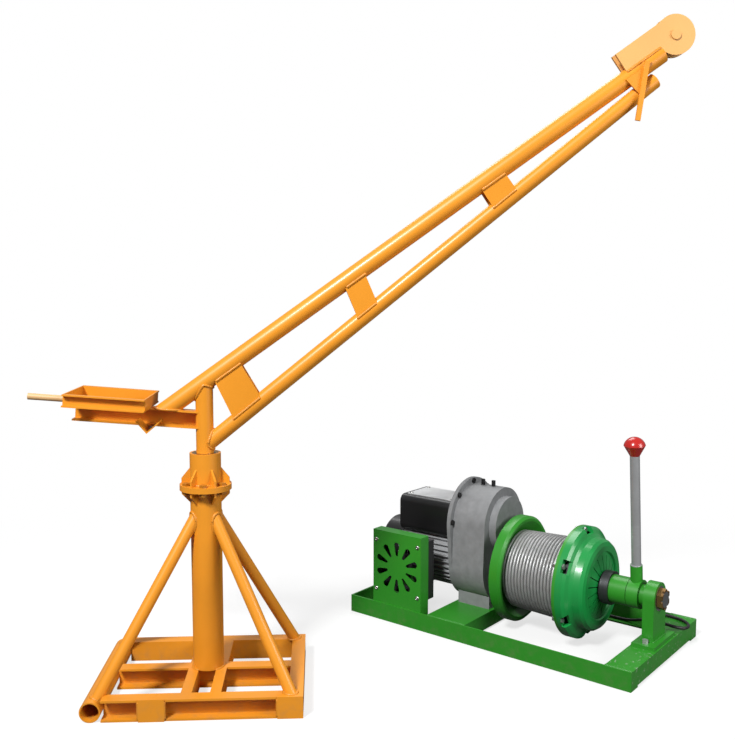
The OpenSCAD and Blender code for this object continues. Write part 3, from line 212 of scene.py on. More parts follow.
def sweep(path, radius, sides, closed=False, up=UP):
    """Round tube along a path: ring point = path point + radius (cos a side + sin a top).

    The radius is one number, one per ring or one per point.
    """
    path = np.asarray(path)
    if closed:
        ahead = np.roll(path, -1, axis=0) - np.roll(path, 1, axis=0)
    else:
        ahead = np.gradient(path, axis=0)
    along = unit(ahead)
    side = np.cross(along, up)
    flat = np.linalg.norm(side, axis=1) < 0.05
    side[flat] = np.cross(along[flat], [0.0, 1.0, 0.0])
    side = unit(side)
    top = np.cross(side, along)
    a = 2 * np.pi * np.arange(sides) / sides
    r = np.broadcast_to(radius, (len(path), sides))[..., None]
    turn = np.cos(a)[None, :, None] * side[:, None] + np.sin(a)[None, :, None] * top[:, None]
    rings = path[:, None] + r * turn
    return rings.reshape(-1, 3), grid_faces(len(path), sides, closed)


def capped(verts, faces, sides):
    """A tube's arrays with a point closing each end."""
    rows = len(verts) // sides
    mids = np.stack([verts[:sides].mean(axis=0), verts[-sides:].mean(axis=0)])
    j = np.arange(sides)
    k = (j + 1) % sides
    n = len(verts)
    first = np.stack([k, j, np.full(sides, n)], axis=1)
    last = np.stack([(rows - 1) * sides + j, (rows - 1) * sides + k, np.full(sides, n + 1)], axis=1)
    return np.vstack([verts, mids]), faces.tolist() + first.tolist() + last.tolist()


def turned(profile, centre, axis, sides):
    """Profile of (radius, height) pairs turned about an axis through centre."""
    axis = unit(np.asarray(axis, dtype=float))
    u = unit(np.cross(axis, [0.31, 0.52, 0.79]))
    v = np.cross(axis, u)
    p = np.asarray(profile)
    a = 2 * np.pi * np.arange(sides) / sides
    ring = np.cos(a)[:, None] * u + np.sin(a)[:, None] * v
    verts = np.asarray(centre) + p[:, 1][:, None, None] * axis + p[:, 0][:, None, None] * ring[None]
    return verts.reshape(-1, 3), grid_faces(len(p), sides)


def joined(parts):
    """Several (verts, faces) pairs as one."""
    verts, faces, n = [], [], 0
    for v, f in parts:
        verts.append(np.asarray(v))
        faces += [[i + n for i in face] for face in (f.tolist() if hasattr(f, "tolist") else f)]
        n += len(v)
    return np.vstack(verts), faces


# Node helpers


class Nodes:
    """Short way to add and join a tree's nodes."""

    def __init__(self, tree):
        self.tree = tree

    def add(self, kind, inputs=None, **props):
        node = self.tree.nodes.new(kind)
        for key, value in props.items():
            setattr(node, key, value)
        for key, value in (inputs or {}).items():
            if isinstance(value, bpy.types.NodeSocket):
                self.tree.links.new(value, node.inputs[key])
            else:
                node.inputs[key].default_value = value
        return node

    def noise(self, vector, scale, detail=4.0, rough=0.55):
        inputs = {"Vector": vector, "Scale": scale, "Detail": detail, "Roughness": rough}
        return self.add("ShaderNodeTexNoise", inputs)

    def ramp(self, value, low, high):
        """Smooth step of a value from 0 at low to 1 at high."""
        return self.add("ShaderNodeMapRange", {"Value": value, "From Min": low, "From Max": high},
                        interpolation_type="SMOOTHSTEP").outputs["Result"]

    def spread(self, value, low, high):
        """A value from 0 to 1 spread between low and high."""
        inputs = {"Value": value, "To Min": low, "To Max": high}
        return self.add("ShaderNodeMapRange", inputs).outputs["Result"]

    def maths(self, operation, a, b):
        return self.add("ShaderNodeMath", {0: a, 1: b}, operation=operation).outputs[0]

    def vectors(self, operation, a, b, output="Vector"):
        return self.add("ShaderNodeVectorMath", {0: a, 1: b}, operation=operation).outputs[output]

    def mix(self, factor, a, b):
        return self.add("ShaderNodeMix", {0: factor, 6: a, 7: b}, data_type="RGBA").outputs[2]


def new_group(name, inputs, outputs):
    """An empty shader node group with named sockets; returns its nodes and its two ends."""
    tree = bpy.data.node_groups.new(name, "ShaderNodeTree")
    kinds = {"value": "NodeSocketFloat", "colour": "NodeSocketColor"}
    for socket, kind, default in inputs:
        made = tree.interface.new_socket(socket, in_out="INPUT", socket_type=kinds[kind])
        made.default_value = default
    for socket, kind in outputs:
        tree.interface.new_socket(socket, in_out="OUTPUT", socket_type=kinds[kind])
    n = Nodes(tree)
    return n, n.add("NodeGroupInput"), n.add("NodeGroupOutput")


def paint_film_group():
    """Sprayed paint: slow patches of tone, the fine skin of the spray, and small chips."""
    n, given, out = new_group("Paint film", [("Scale", "value", 1.0), ("Chips", "value", 0.5)],
                              [("Tone", "value"), ("Height", "value"), ("Chip", "value"), ("Dust", "value")])
    where = n.add("ShaderNodeTexCoord").outputs["Object"]
    tone = n.noise(where, n.maths("MULTIPLY", given.outputs["Scale"], 5.0), 5.0).outputs["Fac"]
    skin = n.noise(where, n.maths("MULTIPLY", given.outputs["Scale"], 130.0), 1.0).outputs["Fac"]
    spots = n.noise(where, n.maths("MULTIPLY", given.outputs["Scale"], 60.0), 6.0, 0.7).outputs["Fac"]
    least = n.maths("SUBTRACT", 0.80, n.maths("MULTIPLY", given.outputs["Chips"], 0.09))
    chip = n.ramp(spots, least, n.maths("ADD", least, 0.015))
    low = n.add("ShaderNodeSeparateXYZ", {0: where}).outputs["Z"]
    dust = n.maths("MULTIPLY", n.ramp(low, 0.09, 0.0),
                   n.ramp(n.noise(where, 34.0, 6.0, 0.65).outputs["Fac"], 0.42, 0.72))
    height = n.maths("SUBTRACT", n.maths("MULTIPLY", skin, 0.05), chip)
    for name, value in (("Tone", tone), ("Height", height), ("Chip", chip), ("Dust", dust)):
        n.tree.links.new(value, out.inputs[name])
    return n.tree


def casting_group():
    """Sand casting under paint: pits and swells."""
    n, given, out = new_group("Casting skin", [("Scale", "value", 1.0)],
                              [("Tone", "value"), ("Height", "value")])
    where = n.add("ShaderNodeTexCoord").outputs["Object"]
    swell = n.noise(where, n.maths("MULTIPLY", given.outputs["Scale"], 40.0), 4.0).outputs["Fac"]
    grit = n.noise(where, n.maths("MULTIPLY", given.outputs["Scale"], 330.0), 4.0, 0.7).outputs["Fac"]
    height = n.maths("ADD", n.maths("MULTIPLY", swell, 0.6), n.maths("MULTIPLY", grit, 0.4))
    n.tree.links.new(swell, out.inputs["Tone"])
    n.tree.links.new(height, out.inputs["Height"])
    return n.tree


def streak_group():
    """Machined or drawn metal: fine lines and slow stains."""
    n, given, out = new_group("Machined streaks", [("Scale", "value", 1.0)],
                              [("Tone", "value"), ("Height", "value")])
    where = n.add("ShaderNodeTexCoord").outputs["Object"]
    drawn = n.add("ShaderNodeMapping", {"Vector": where, "Scale": (30.0, 30.0, 700.0)}).outputs["Vector"]
    lines = n.noise(drawn, given.outputs["Scale"], 3.0).outputs["Fac"]
    stain = n.noise(where, n.maths("MULTIPLY", given.outputs["Scale"], 22.0), 5.0).outputs["Fac"]
    tone = n.maths("ADD", n.maths("MULTIPLY", lines, 0.4), n.maths("MULTIPLY", stain, 0.6))
    n.tree.links.new(tone, out.inputs["Tone"])
    n.tree.links.new(lines, out.inputs["Height"])
    return n.tree


GROUPS = {}


def shared(name):
    """A shared node group, built at its first use."""
    makers = {"film": paint_film_group, "casting": casting_group, "streaks": streak_group}
    if name not in GROUPS:
        GROUPS[name] = makers[name]()
    return GROUPS[name]


def new_material(name, metallic=0.0, coat=0.0, specular=0.5):
    """A material with one Principled shader; returns it with its nodes and the shader."""
    material = bpy.data.materials.new(name)
    material.use_nodes = True
    n = Nodes(material.node_tree)
    shader = material.node_tree.nodes["Principled BSDF"]
    shader.inputs["Metallic"].default_value = metallic
    shader.inputs["Coat Weight"].default_value = coat
    shader.inputs["Coat Roughness"].default_value = 0.12
    shader.inputs["Specular IOR Level"].default_value = specular
    return material, n, shader


def bump(n, shader, height, strength, distance=0.001):
    """Feeds a height through a Bump node to the shader's normal."""
    node = n.add("ShaderNodeBump", {"Height": height, "Strength": strength, "Distance": distance})
    n.tree.links.new(node.outputs["Normal"], shader.inputs["Normal"])


def tone_of(colour, k):
    """A colour made k times as bright."""
    return tuple(min(1.0, c * k) for c in colour[:3]) + (1.0,)


def painted(name, colour, scale=1.0, chips=0.4, rough=(0.30, 0.44), coat=0.12, under=(0.10, 0.055, 0.03)):
    """Sprayed paint with slow tone, chips to the primer, and dust near the floor."""
    material, n, shader = new_material(name, coat=coat, specular=0.45)
    film = n.add("ShaderNodeGroup", {}, node_tree=shared("film"))
    film.inputs["Scale"].default_value = scale
    film.inputs["Chips"].default_value = chips
    body = n.mix(film.outputs["Tone"], tone_of(colour, 0.86), tone_of(colour, 1.12))
    dusty = n.mix(n.maths("MULTIPLY", film.outputs["Dust"], 0.22), body, (0.20, 0.16, 0.12, 1.0))
    n.tree.links.new(n.mix(film.outputs["Chip"], dusty, tuple(under) + (1.0,)), shader.inputs["Base Color"])
    n.tree.links.new(n.spread(film.outputs["Tone"], *rough), shader.inputs["Roughness"])
    bump(n, shader, film.outputs["Height"], 0.18)
    return material


def cast(name, colour, scale=1.0, rough=(0.45, 0.68), metallic=0.0, strength=0.5):
    """Painted or bare casting with pits and swells."""
    material, n, shader = new_material(name, metallic=metallic)
    skin = n.add("ShaderNodeGroup", {}, node_tree=shared("casting"))
    skin.inputs["Scale"].default_value = scale
    n.tree.links.new(n.mix(skin.outputs["Tone"], tone_of(colour, 0.7), tone_of(colour, 1.28)),
                     shader.inputs["Base Color"])
    n.tree.links.new(n.spread(skin.outputs["Tone"], *rough), shader.inputs["Roughness"])
    bump(n, shader, skin.outputs["Height"], strength)
    return material


def machined(name, colour, scale=1.0, rough=(0.22, 0.42), metallic=1.0):
    """Bare metal with tool lines and stains."""
    material, n, shader = new_material(name, metallic=metallic)
    skin = n.add("ShaderNodeGroup", {}, node_tree=shared("streaks"))
    skin.inputs["Scale"].default_value = scale
    n.tree.links.new(n.mix(skin.outputs["Tone"], tone_of(colour, 0.62), tone_of(colour, 1.2)),
                     shader.inputs["Base Color"])
    n.tree.links.new(n.spread(skin.outputs["Tone"], *rough), shader.inputs["Roughness"])
    bump(n, shader, skin.outputs["Height"], 0.06)
    return material


def dress(material, *nodes):
    """Gives CAD nodes a finish."""
    for name in nodes:
        obj = frame["nodes"][name]
        if not obj.material_slots:
            obj.data.materials.append(material)
        for slot in obj.material_slots:
            slot.material = material


# Operators

# Area lamps: place, width and power in watts
LAMPS = {
    "Key": ((-2.1, -3.6, 5.0), 1.1, 530.0),
    "Fill": ((4.4, -2.6, 2.4), 2.4, 150.0),
    "Back": ((0.6, 3.6, 5.2), 3.0, 130.0),
}
LAMP_AIM = np.array([0.5, 0.2, 0.7])


class HOIST_OT_stage(Operator):
    """Pale floor, soft light and the photograph's camera"""

    bl_idname = "hoist.stage"
    bl_label = "Stage"

    def execute(self, context):
        scene = context.scene
        scene.view_settings.view_transform = "Standard"
        self.camera(scene)
        self.floor()
        self.world(scene)
        for name, (place, size, power) in LAMPS.items():
            self.lamp(name, place, size, power)
        return {"FINISHED"}

    def camera(self, scene):
        c = scene.hoist_camera
        data = bpy.data.cameras.new("Photograph")
        data.sensor_width = 36.0
        data.lens = c.focal_px * data.sensor_width / c.image_px
        obj = bpy.data.objects.new("Photograph", data)
        obj.location = c.place
        obj.rotation_euler = (math.pi / 2 - c.pitch, 0.0, -c.yaw)
        bpy.context.collection.objects.link(obj)
        scene.camera = obj

    def floor(self):
        """A wide disc that fades to white away from the object."""
        middle, reach, rings, sides = np.array([0.6, 0.3, 0.0]), 30.0, 12, 64
        profile = [(0.001 + reach * (i / (rings - 1)) ** 2, 0.0) for i in range(rings)]
        verts, faces = turned(profile, middle, UP, sides)
        mesh = bpy.data.meshes.new("Floor")
        mesh.from_pydata(verts.tolist(), [], faces.tolist())
        obj = bpy.data.objects.new("Floor", mesh)
        bpy.context.collection.objects.link(obj)
        material, n, shader = new_material("Pale floor", specular=0.0)
        shader.inputs["Roughness"].default_value = 0.9
        path = n.add("ShaderNodeLightPath")
        bounced = n.maths("MAXIMUM", path.outputs["Is Diffuse Ray"], path.outputs["Is Glossy Ray"])
        n.tree.links.new(n.mix(bounced, (0.93, 0.93, 0.93, 1.0), (0.10, 0.10, 0.10, 1.0)),
                         shader.inputs["Base Color"])
        where = n.add("ShaderNodeTexCoord").outputs["Object"]
        away = n.vectors("DISTANCE", where, tuple(middle), "Value")
        glow = n.add("ShaderNodeEmission", {"Color": (1, 1, 1, 1), "Strength": 1.0})
        seen = n.maths("MAXIMUM", path.outputs["Is Camera Ray"], path.outputs["Is Transmission Ray"])
        factor = n.maths("MULTIPLY", seen, n.spread(n.ramp(away, 0.7, 2.4), 0.72, 1.0))
        ends = {0: factor, 1: shader.outputs["BSDF"], 2: glow.outputs["Emission"]}
        both = n.add("ShaderNodeMixShader", ends)
        n.tree.links.new(both.outputs["Shader"], n.tree.nodes["Material Output"].inputs["Surface"])
        mesh.materials.append(material)

    def world(self, scene):
        """Weak light all round, stronger in reflections, and plain white where the camera sees it."""
        world = bpy.data.worlds.new("Studio")
        world.use_nodes = True
        n = Nodes(world.node_tree)
        back = world.node_tree.nodes["Background"]
        path = n.add("ShaderNodeLightPath")
        seen = n.maths("MAXIMUM", path.outputs["Is Camera Ray"], path.outputs["Is Transmission Ray"])
        bright = n.maths("MAXIMUM", seen, n.maths("MULTIPLY", path.outputs["Is Glossy Ray"], 0.2))
        strength = n.spread(bright, 0.08, 1.0)
        back.inputs["Color"].default_value = (1, 1, 1, 1)
        n.tree.links.new(strength, back.inputs["Strength"])
        scene.world = world

    def lamp(self, name, place, size, power):
        """A square soft box that looks at the object's middle."""
        data = bpy.data.lights.new(name, "AREA")
        data.size, data.energy = size, power
        obj = bpy.data.objects.new(name, data)
        obj.location = place
        aim = unit(LAMP_AIM - np.array(place))
        obj.rotation_euler = (math.acos(-aim[2]), 0.0, math.atan2(-aim[0], aim[1]))
        bpy.context.collection.objects.link(obj)


class HOIST_OT_cord(Operator):
    """Power cord from the terminal box's gland to the plug on the end beam"""

    bl_idname = "hoist.cord"
    bl_label = "Power cord"

    def execute(self, context):
        s = context.scene.hoist_cord
        path = in_winch(smooth_curve(CORD_ROUTE, s.steps))
        verts, faces = sweep(path, s.diameter / 2, s.sides)
        verts, faces = capped(verts, faces, s.sides)
        obj = add_mesh("mains_cord", verts, faces, "base")
        material, n, shader = new_material("Cord rubber", specular=0.4)
        where = n.add("ShaderNodeTexCoord").outputs["Object"]
        dust = n.ramp(n.noise(where, 26.0, 6.0).outputs["Fac"], 0.4, 0.75)
        rubber = n.mix(dust, (0.012, 0.012, 0.013, 1), (0.045, 0.043, 0.040, 1))
        n.tree.links.new(rubber, shader.inputs["Base Color"])
        n.tree.links.new(n.spread(dust, 0.38, 0.62), shader.inputs["Roughness"])
        bump(n, shader, n.noise(where, 900.0, 2.0).outputs["Fac"], 0.05)
        obj.data.materials.append(material)
        dress(material, "plug", "cable_gland")
        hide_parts("power_cord")
        return {"FINISHED"}


class HOIST_OT_rope(Operator):
    """Wire rope wound on the drum, with its twisted strands"""

    bl_idname = "hoist.rope"
    bl_label = "Rope winding"

    def execute(self, context):
        """Ring at turn t: the axis at start + pitch t, plus the radius out from it and the strands."""
        s = context.scene.hoist_rope
        sides, rings_per_turn, end_rings = 18, 176, 3
        t = np.arange(s.turns * rings_per_turn + 1) / rings_per_turn
        a = 2 * np.pi * t
        r = s.radius + s.rise * t / s.turns
        out = np.cos(a)[:, None] * WINCH_SIDE + np.sin(a)[:, None] * UP
        mids = DRUM_MID + (s.start + s.pitch * t)[:, None] * DRUM_AXIS + r[:, None] * out
        tail = s.diameter * np.arange(1, end_rings + 1)[:, None] / end_rings
        mids = np.vstack([mids[0] - tail[::-1] * UP, mids, mids[-1] + tail * UP])
        out = np.vstack([np.repeat(out[:1], end_rings, 0), out, np.repeat(out[-1:], end_rings, 0)])
        along = np.concatenate([[0], np.cumsum(np.linalg.norm(np.diff(mids, axis=0), axis=1))])
        b = 2 * np.pi * np.arange(sides) / sides
        phase = b[None, :] - 2 * np.pi * along[:, None] / s.lay
        lobe = np.abs(np.cos(phase * s.strands / 2))
        radius = s.diameter / 2 * (0.86 + 0.14 * lobe)
        verts = mids[:, None] + radius[..., None] * (np.cos(b)[None, :, None] * out[:, None]
                                                   + np.sin(b)[None, :, None] * DRUM_AXIS[None, None])
        verts, faces = capped(verts.reshape(-1, 3), grid_faces(len(mids), sides)[:, ::-1], sides)
        obj = add_mesh("rope_on_drum", verts, faces, "drum")
        # The groove attribute holds the strands' profile; the material paints shade into the grooves from it
        groove = obj.data.attributes.new("groove", "FLOAT", "POINT")
        groove.data.foreach_set("value", np.concatenate([lobe.ravel(), [1.0, 1.0]]))
        obj.data.materials.append(self.material())
        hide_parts("rope_winding")
        return {"FINISHED"}

    def material(self):
        """Greased galvanised wire, with painted shade darkening the grooves between the strands."""
        material, n, shader = new_material("Wire rope", metallic=0.45)
        where = n.add("ShaderNodeTexCoord").outputs["Object"]
        lobe = n.add("ShaderNodeAttribute", attribute_name="groove").outputs["Fac"]
        grime = n.ramp(n.noise(where, 48.0, 6.0, 0.6).outputs["Fac"], 0.35, 0.75)
        # Painted shade: the colour goes from bright on the strands' crowns to dark in the grooves between
        # them
        strands_shaded = n.mix(lobe, (0.10, 0.10, 0.10, 1), (0.58, 0.585, 0.59, 1))
        stained = n.mix(n.maths("MULTIPLY", grime, 0.35), strands_shaded, (0.20, 0.185, 0.165, 1))
        n.tree.links.new(stained, shader.inputs["Base Color"])
        n.tree.links.new(n.spread(grime, 0.34, 0.6), shader.inputs["Roughness"])
        bump(n, shader, n.noise(where, 1400.0, 2.0).outputs["Fac"], 0.25)
        return material


class HOIST_OT_crane_finish(Operator):
    """Orange paint of the crane and the metal of its small parts"""

    bl_idname = "hoist.crane_finish"
    bl_label = "Crane finishes"

    def execute(self, context):
        c = context.scene.hoist_colours
        dress(painted("Crane orange", c.orange, chips=0.35), *CRANE_PAINTED)
        dress(painted("Head orange", c.pale_orange, chips=0.5, rough=(0.36, 0.5), coat=0.15),
              "head_cheeks", "sheave_pin")
        dress(painted("Handle tan", c.tan, scale=2.0, chips=0.9, rough=(0.4, 0.6), coat=0.0), "tray_handle")
        dress(painted("Bolt orange", tone_of(c.orange, 0.55), scale=3.0, chips=0.9), "flange_bolts")
        dress(machined("Bush bronze", (0.40, 0.24, 0.09)), "slew_bearings")
        dress(cast("Sheave iron", (0.09, 0.09, 0.095), metallic=0.6), "rope_sheave")
        return {"FINISHED"}


CRANE_PAINTED = ["base_front_channel", "base_rear_channel", "base_left_tube", "base_right_channel",
                 "base_cross_members", "mast_tube", "mast_flange", "mast_braces", "bearing_housing",
                 "slewing_post", "tray_beam", "tray_cross_angle", "tray_frame", "upper_jib_tube",
                 "lower_jib_tube", "gusset_plates", "tag_bar"]


class HOIST_OT_winch_finish(Operator):
    """Paint, castings, metal and plastic of the winch"""

    bl_idname = "hoist.winch_finish"
    bl_label = "Winch finishes"

    def execute(self, context):
        c = context.scene.hoist_colours
        dress(painted("Winch green", c.green, chips=0.5), "winch_rails", "left_end_rail", "gearbox_bed",
              "fan_guard", "drum_barrel", "pedestal", "release_sleeve")
        dress(painted("Scuffed green", c.green, scale=1.2, chips=2.1, under=(0.22, 0.36, 0.20)),
              "right_end_beam")
        dress(painted("Clutch green", c.teal, scale=1.6, chips=0.5, rough=(0.26, 0.4), coat=0.4),
              "clutch_cover", "diaphragm_spring")
        dress(cast("Gearbox grey", c.grey), "gearbox_case", "gearbox_cover")
        # Painted light: the motor's grey is 1.5 times the casting grey, lightened to make up for the shade
        # that falls on its fins
        dress(cast("Motor grey lightened against shade", tone_of(c.grey, 1.5), scale=1.4, rough=(0.36, 0.55)), "motor_housing")
        dress(cast("Bare iron", (0.06, 0.062, 0.066), metallic=0.7, rough=(0.35, 0.55), strength=0.25),
              "pressure_plate", "release_bearing")
        dress(machined("Machined steel", (0.45, 0.46, 0.47)), "motor_rotor", "motor_pinion", "train_bearings",
              "countershaft", "counter_gears", "output_shaft", "drum_gear")
        dress(machined("Bare plate", (0.80, 0.81, 0.82), rough=(0.3, 0.5), metallic=0.15), "terminal_plate")
        dress(machined("Nut bronze", (0.30, 0.17, 0.07), scale=2.0, rough=(0.35, 0.6)), "castle_nut")
        dress(self.lever(c.green), "lever")
        dress(machined("Galvanised bolts", GALVANISED, rough=(0.34, 0.55)), "clutch_bolts")
        dress(self.bolts(), "winch_bolts")
        dress(painted("Black paint", (0.010, 0.010, 0.011), chips=0.5, rough=(0.3, 0.5), coat=0.2,
                      under=(0.16, 0.16, 0.16)), "motor_fan_cover", "terminal_box")
        dress(self.plastic("Fan plastic", (0.012, 0.012, 0.013)), "fan_frame", "fan_rotor")
        dress(self.plastic("Knob plastic", c.red, rough=(0.16, 0.3), coat=0.4), "lever_knob")
        dress(cast("Friction lining", (0.09, 0.065, 0.045), scale=3.0, rough=(0.7, 0.9)), "clutch_disc")
        return {"FINISHED"}

    def lever(self, green):
        """Green paint on the socket and bare steel on the rod, parted by the distance from the axis."""
        material, n, shader = new_material("Lever paint and steel")
        film = n.add("ShaderNodeGroup", {}, node_tree=shared("film"))
        streaks = n.add("ShaderNodeGroup", {}, node_tree=shared("streaks"))
        where = n.add("ShaderNodeTexCoord").outputs["Object"]
        off = n.vectors("SUBTRACT", where, tuple(DRUM_MID))
        across = n.vectors("CROSS_PRODUCT", off, tuple(DRUM_AXIS))
        away = n.add("ShaderNodeVectorMath", {0: across}, operation="LENGTH").outputs["Value"]
        rod = n.ramp(away, SOCKET_END - 0.0004, SOCKET_END + 0.0004)
        paint = n.mix(film.outputs["Tone"], tone_of(green, 0.80), tone_of(green, 1.16))
        steel = n.mix(streaks.outputs["Tone"], (0.26, 0.265, 0.27, 1.0), (0.50, 0.51, 0.52, 1.0))
        n.tree.links.new(n.mix(rod, paint, steel), shader.inputs["Base Color"])
        n.tree.links.new(n.maths("MULTIPLY", rod, 0.45), shader.inputs["Metallic"])
        n.tree.links.new(n.spread(film.outputs["Tone"], 0.3, 0.46), shader.inputs["Roughness"])
        bump(n, shader, film.outputs["Height"], 0.12)
        return material

    def bolts(self):
        """Blackened bolts on the gearbox and galvanised ones on the end beam, parted along the axis."""
        material, n, shader = new_material("Gearbox and pedestal bolts", metallic=0.7)
        streaks = n.add("ShaderNodeGroup", {}, node_tree=shared("streaks"))
        where = n.add("ShaderNodeTexCoord").outputs["Object"]
        off = n.vectors("SUBTRACT", where, tuple(DRUM_MID))
        along = n.vectors("DOT_PRODUCT", off, tuple(DRUM_AXIS), "Value")
        on_beam = n.ramp(along, END_BEAM_X[0] - 0.02, END_BEAM_X[0])
        black = n.mix(streaks.outputs["Tone"], (0.012, 0.012, 0.013, 1.0), (0.05, 0.05, 0.052, 1.0))
        bright = n.mix(streaks.outputs["Tone"], tone_of(GALVANISED, 0.7), tone_of(GALVANISED, 1.3))
        n.tree.links.new(n.mix(on_beam, black, bright), shader.inputs["Base Color"])
        n.tree.links.new(n.spread(streaks.outputs["Tone"], 0.34, 0.55), shader.inputs["Roughness"])
        return material

    def plastic(self, name, colour, rough=(0.42, 0.58), coat=0.0):
        """Moulded plastic with a fine grain and handling marks."""
        material, n, shader = new_material(name, coat=coat)
        where = n.add("ShaderNodeTexCoord").outputs["Object"]
        marks = n.noise(where, 40.0, 6.0, 0.65).outputs["Fac"]
        body = n.mix(marks, tone_of(colour, 0.85), tone_of(colour, 1.12))
        n.tree.links.new(body, shader.inputs["Base Color"])
        n.tree.links.new(n.spread(marks, *rough), shader.inputs["Roughness"])
        bump(n, shader, n.noise(where, 800.0, 2.0).outputs["Fac"], 0.05)
        return material


# Places of the joins, from the CAD nodes' boxes and the crane's layout

MAST_R = (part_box("mast_tube")[1][0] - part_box("mast_tube")[0][0]) / 2
MAST_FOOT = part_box("mast_tube")[0][2]
MAST_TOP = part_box("mast_tube")[1][2]
FLANGE_T = 0.008
BASE_TUBE = np.array([-0.2915, 0.0285])
BASE_TUBE_R = 0.0285
BASE_TUBE_AXIS = np.array([0.0, 1.0, 0.0])
BRACE_R = 0.01685
BRACE_TOP = 0.560
BRACE_Y = 0.1914
BRACE_RIGHT_X = 0.24515
POST_R = 0.025
UPPER_R, UPPER_Z, UPPER_ANGLE, UPPER_REACH = 0.0255, 0.893, math.radians(35.5), 1.300
LOWER_R, LOWER_Z = 0.022, 0.710
TIP_X = 1.282
BEAM_Z, BEAM_SLOPE = 0.811, math.radians(4.5)
GUSSET_Y = 0.01989
GUSSET_UPPER = [(0.02, 0.075), (0.305, 0.348), (0.6, 0.65)]
GUSSET_LOWER = [(0.068, 0.128), (0.34, 0.382), (0.636, 0.686)]
CHEEK_Y, CHEEK_BACK = 0.020, 0.118
# Cover plates on the base's front channel
COVER_X, COVER_W, COVER_T, COVER_Z, COVER_EDGE = (-0.128, 0.245), 0.070, 0.004, (0.006, 0.054), 0.002
RAIL_IN, RAIL_TOP, BEAD_SINK = 0.264, 0.060, 0.001
BED_X = (-0.1975, -0.0475)
PEDESTAL_X, PEDESTAL_Y, PEDESTAL_FOOT = (0.4645, 0.5005), 0.050, 0.072
GUARD_MID = np.array([-0.326, -0.264, 0.196])
GUARD_SCREW, GUARD_SCREW_R, PLATE_SCREW_R = 0.088, 0.0075, 0.0065
PLATE_X, PLATE_Y, PLATE_TOP = (-0.415, -0.239), 0.054, 0.410

UPPER_DIR = np.array([math.cos(UPPER_ANGLE), 0.0, math.sin(UPPER_ANGLE)])
TIP_DROP = (UPPER_R + LOWER_R + 0.002) / math.cos(UPPER_ANGLE)
LOWER_SLOPE = (UPPER_Z + math.tan(UPPER_ANGLE) * TIP_X - TIP_DROP - LOWER_Z) / TIP_X
LOWER_DIR = unit(np.array([1.0, 0.0, LOWER_SLOPE]))


def around(points_per_turn=96):
    """Angles once round a tube."""
    return 2 * np.pi * np.arange(points_per_turn) / points_per_turn


def tube_lines(start, ahead, radius, angles):
    """Starts of a tube's straight surface lines: the axis point plus radius (cos a side + sin a top)."""
    side = unit(np.cross(ahead, [0.03, 0.02, 1.0]))
    top = np.cross(side, ahead)
    return np.asarray(start) + radius * (np.cos(angles)[:, None] * side + np.sin(angles)[:, None] * top)


def meet_tube(lines, ahead, mid, axis, radius, far=True):
    """Where straight lines cross a round tube: the root of |q|^2 = radius^2, with q square to its axis."""
    q = lines - mid
    q = q - (q @ axis)[:, None] * axis
    d = ahead - (ahead @ axis) * axis
    a, b, c = d @ d, q @ d, (q * q).sum(axis=1) - radius**2
    root = np.sqrt(np.maximum(b * b - a * c, 0.0))
    t = (-b + (root if far else -root)) / a
    return lines + t[:, None] * ahead


def meet_plane(lines, ahead, point, normal):
    """Where straight lines cross a plane."""
    t = ((point - lines) @ normal) / (ahead @ normal)
    return lines + t[:, None] * ahead


def straight(a, b):
    """Two ends of a straight bead."""
    return np.array([a, b], dtype=float)


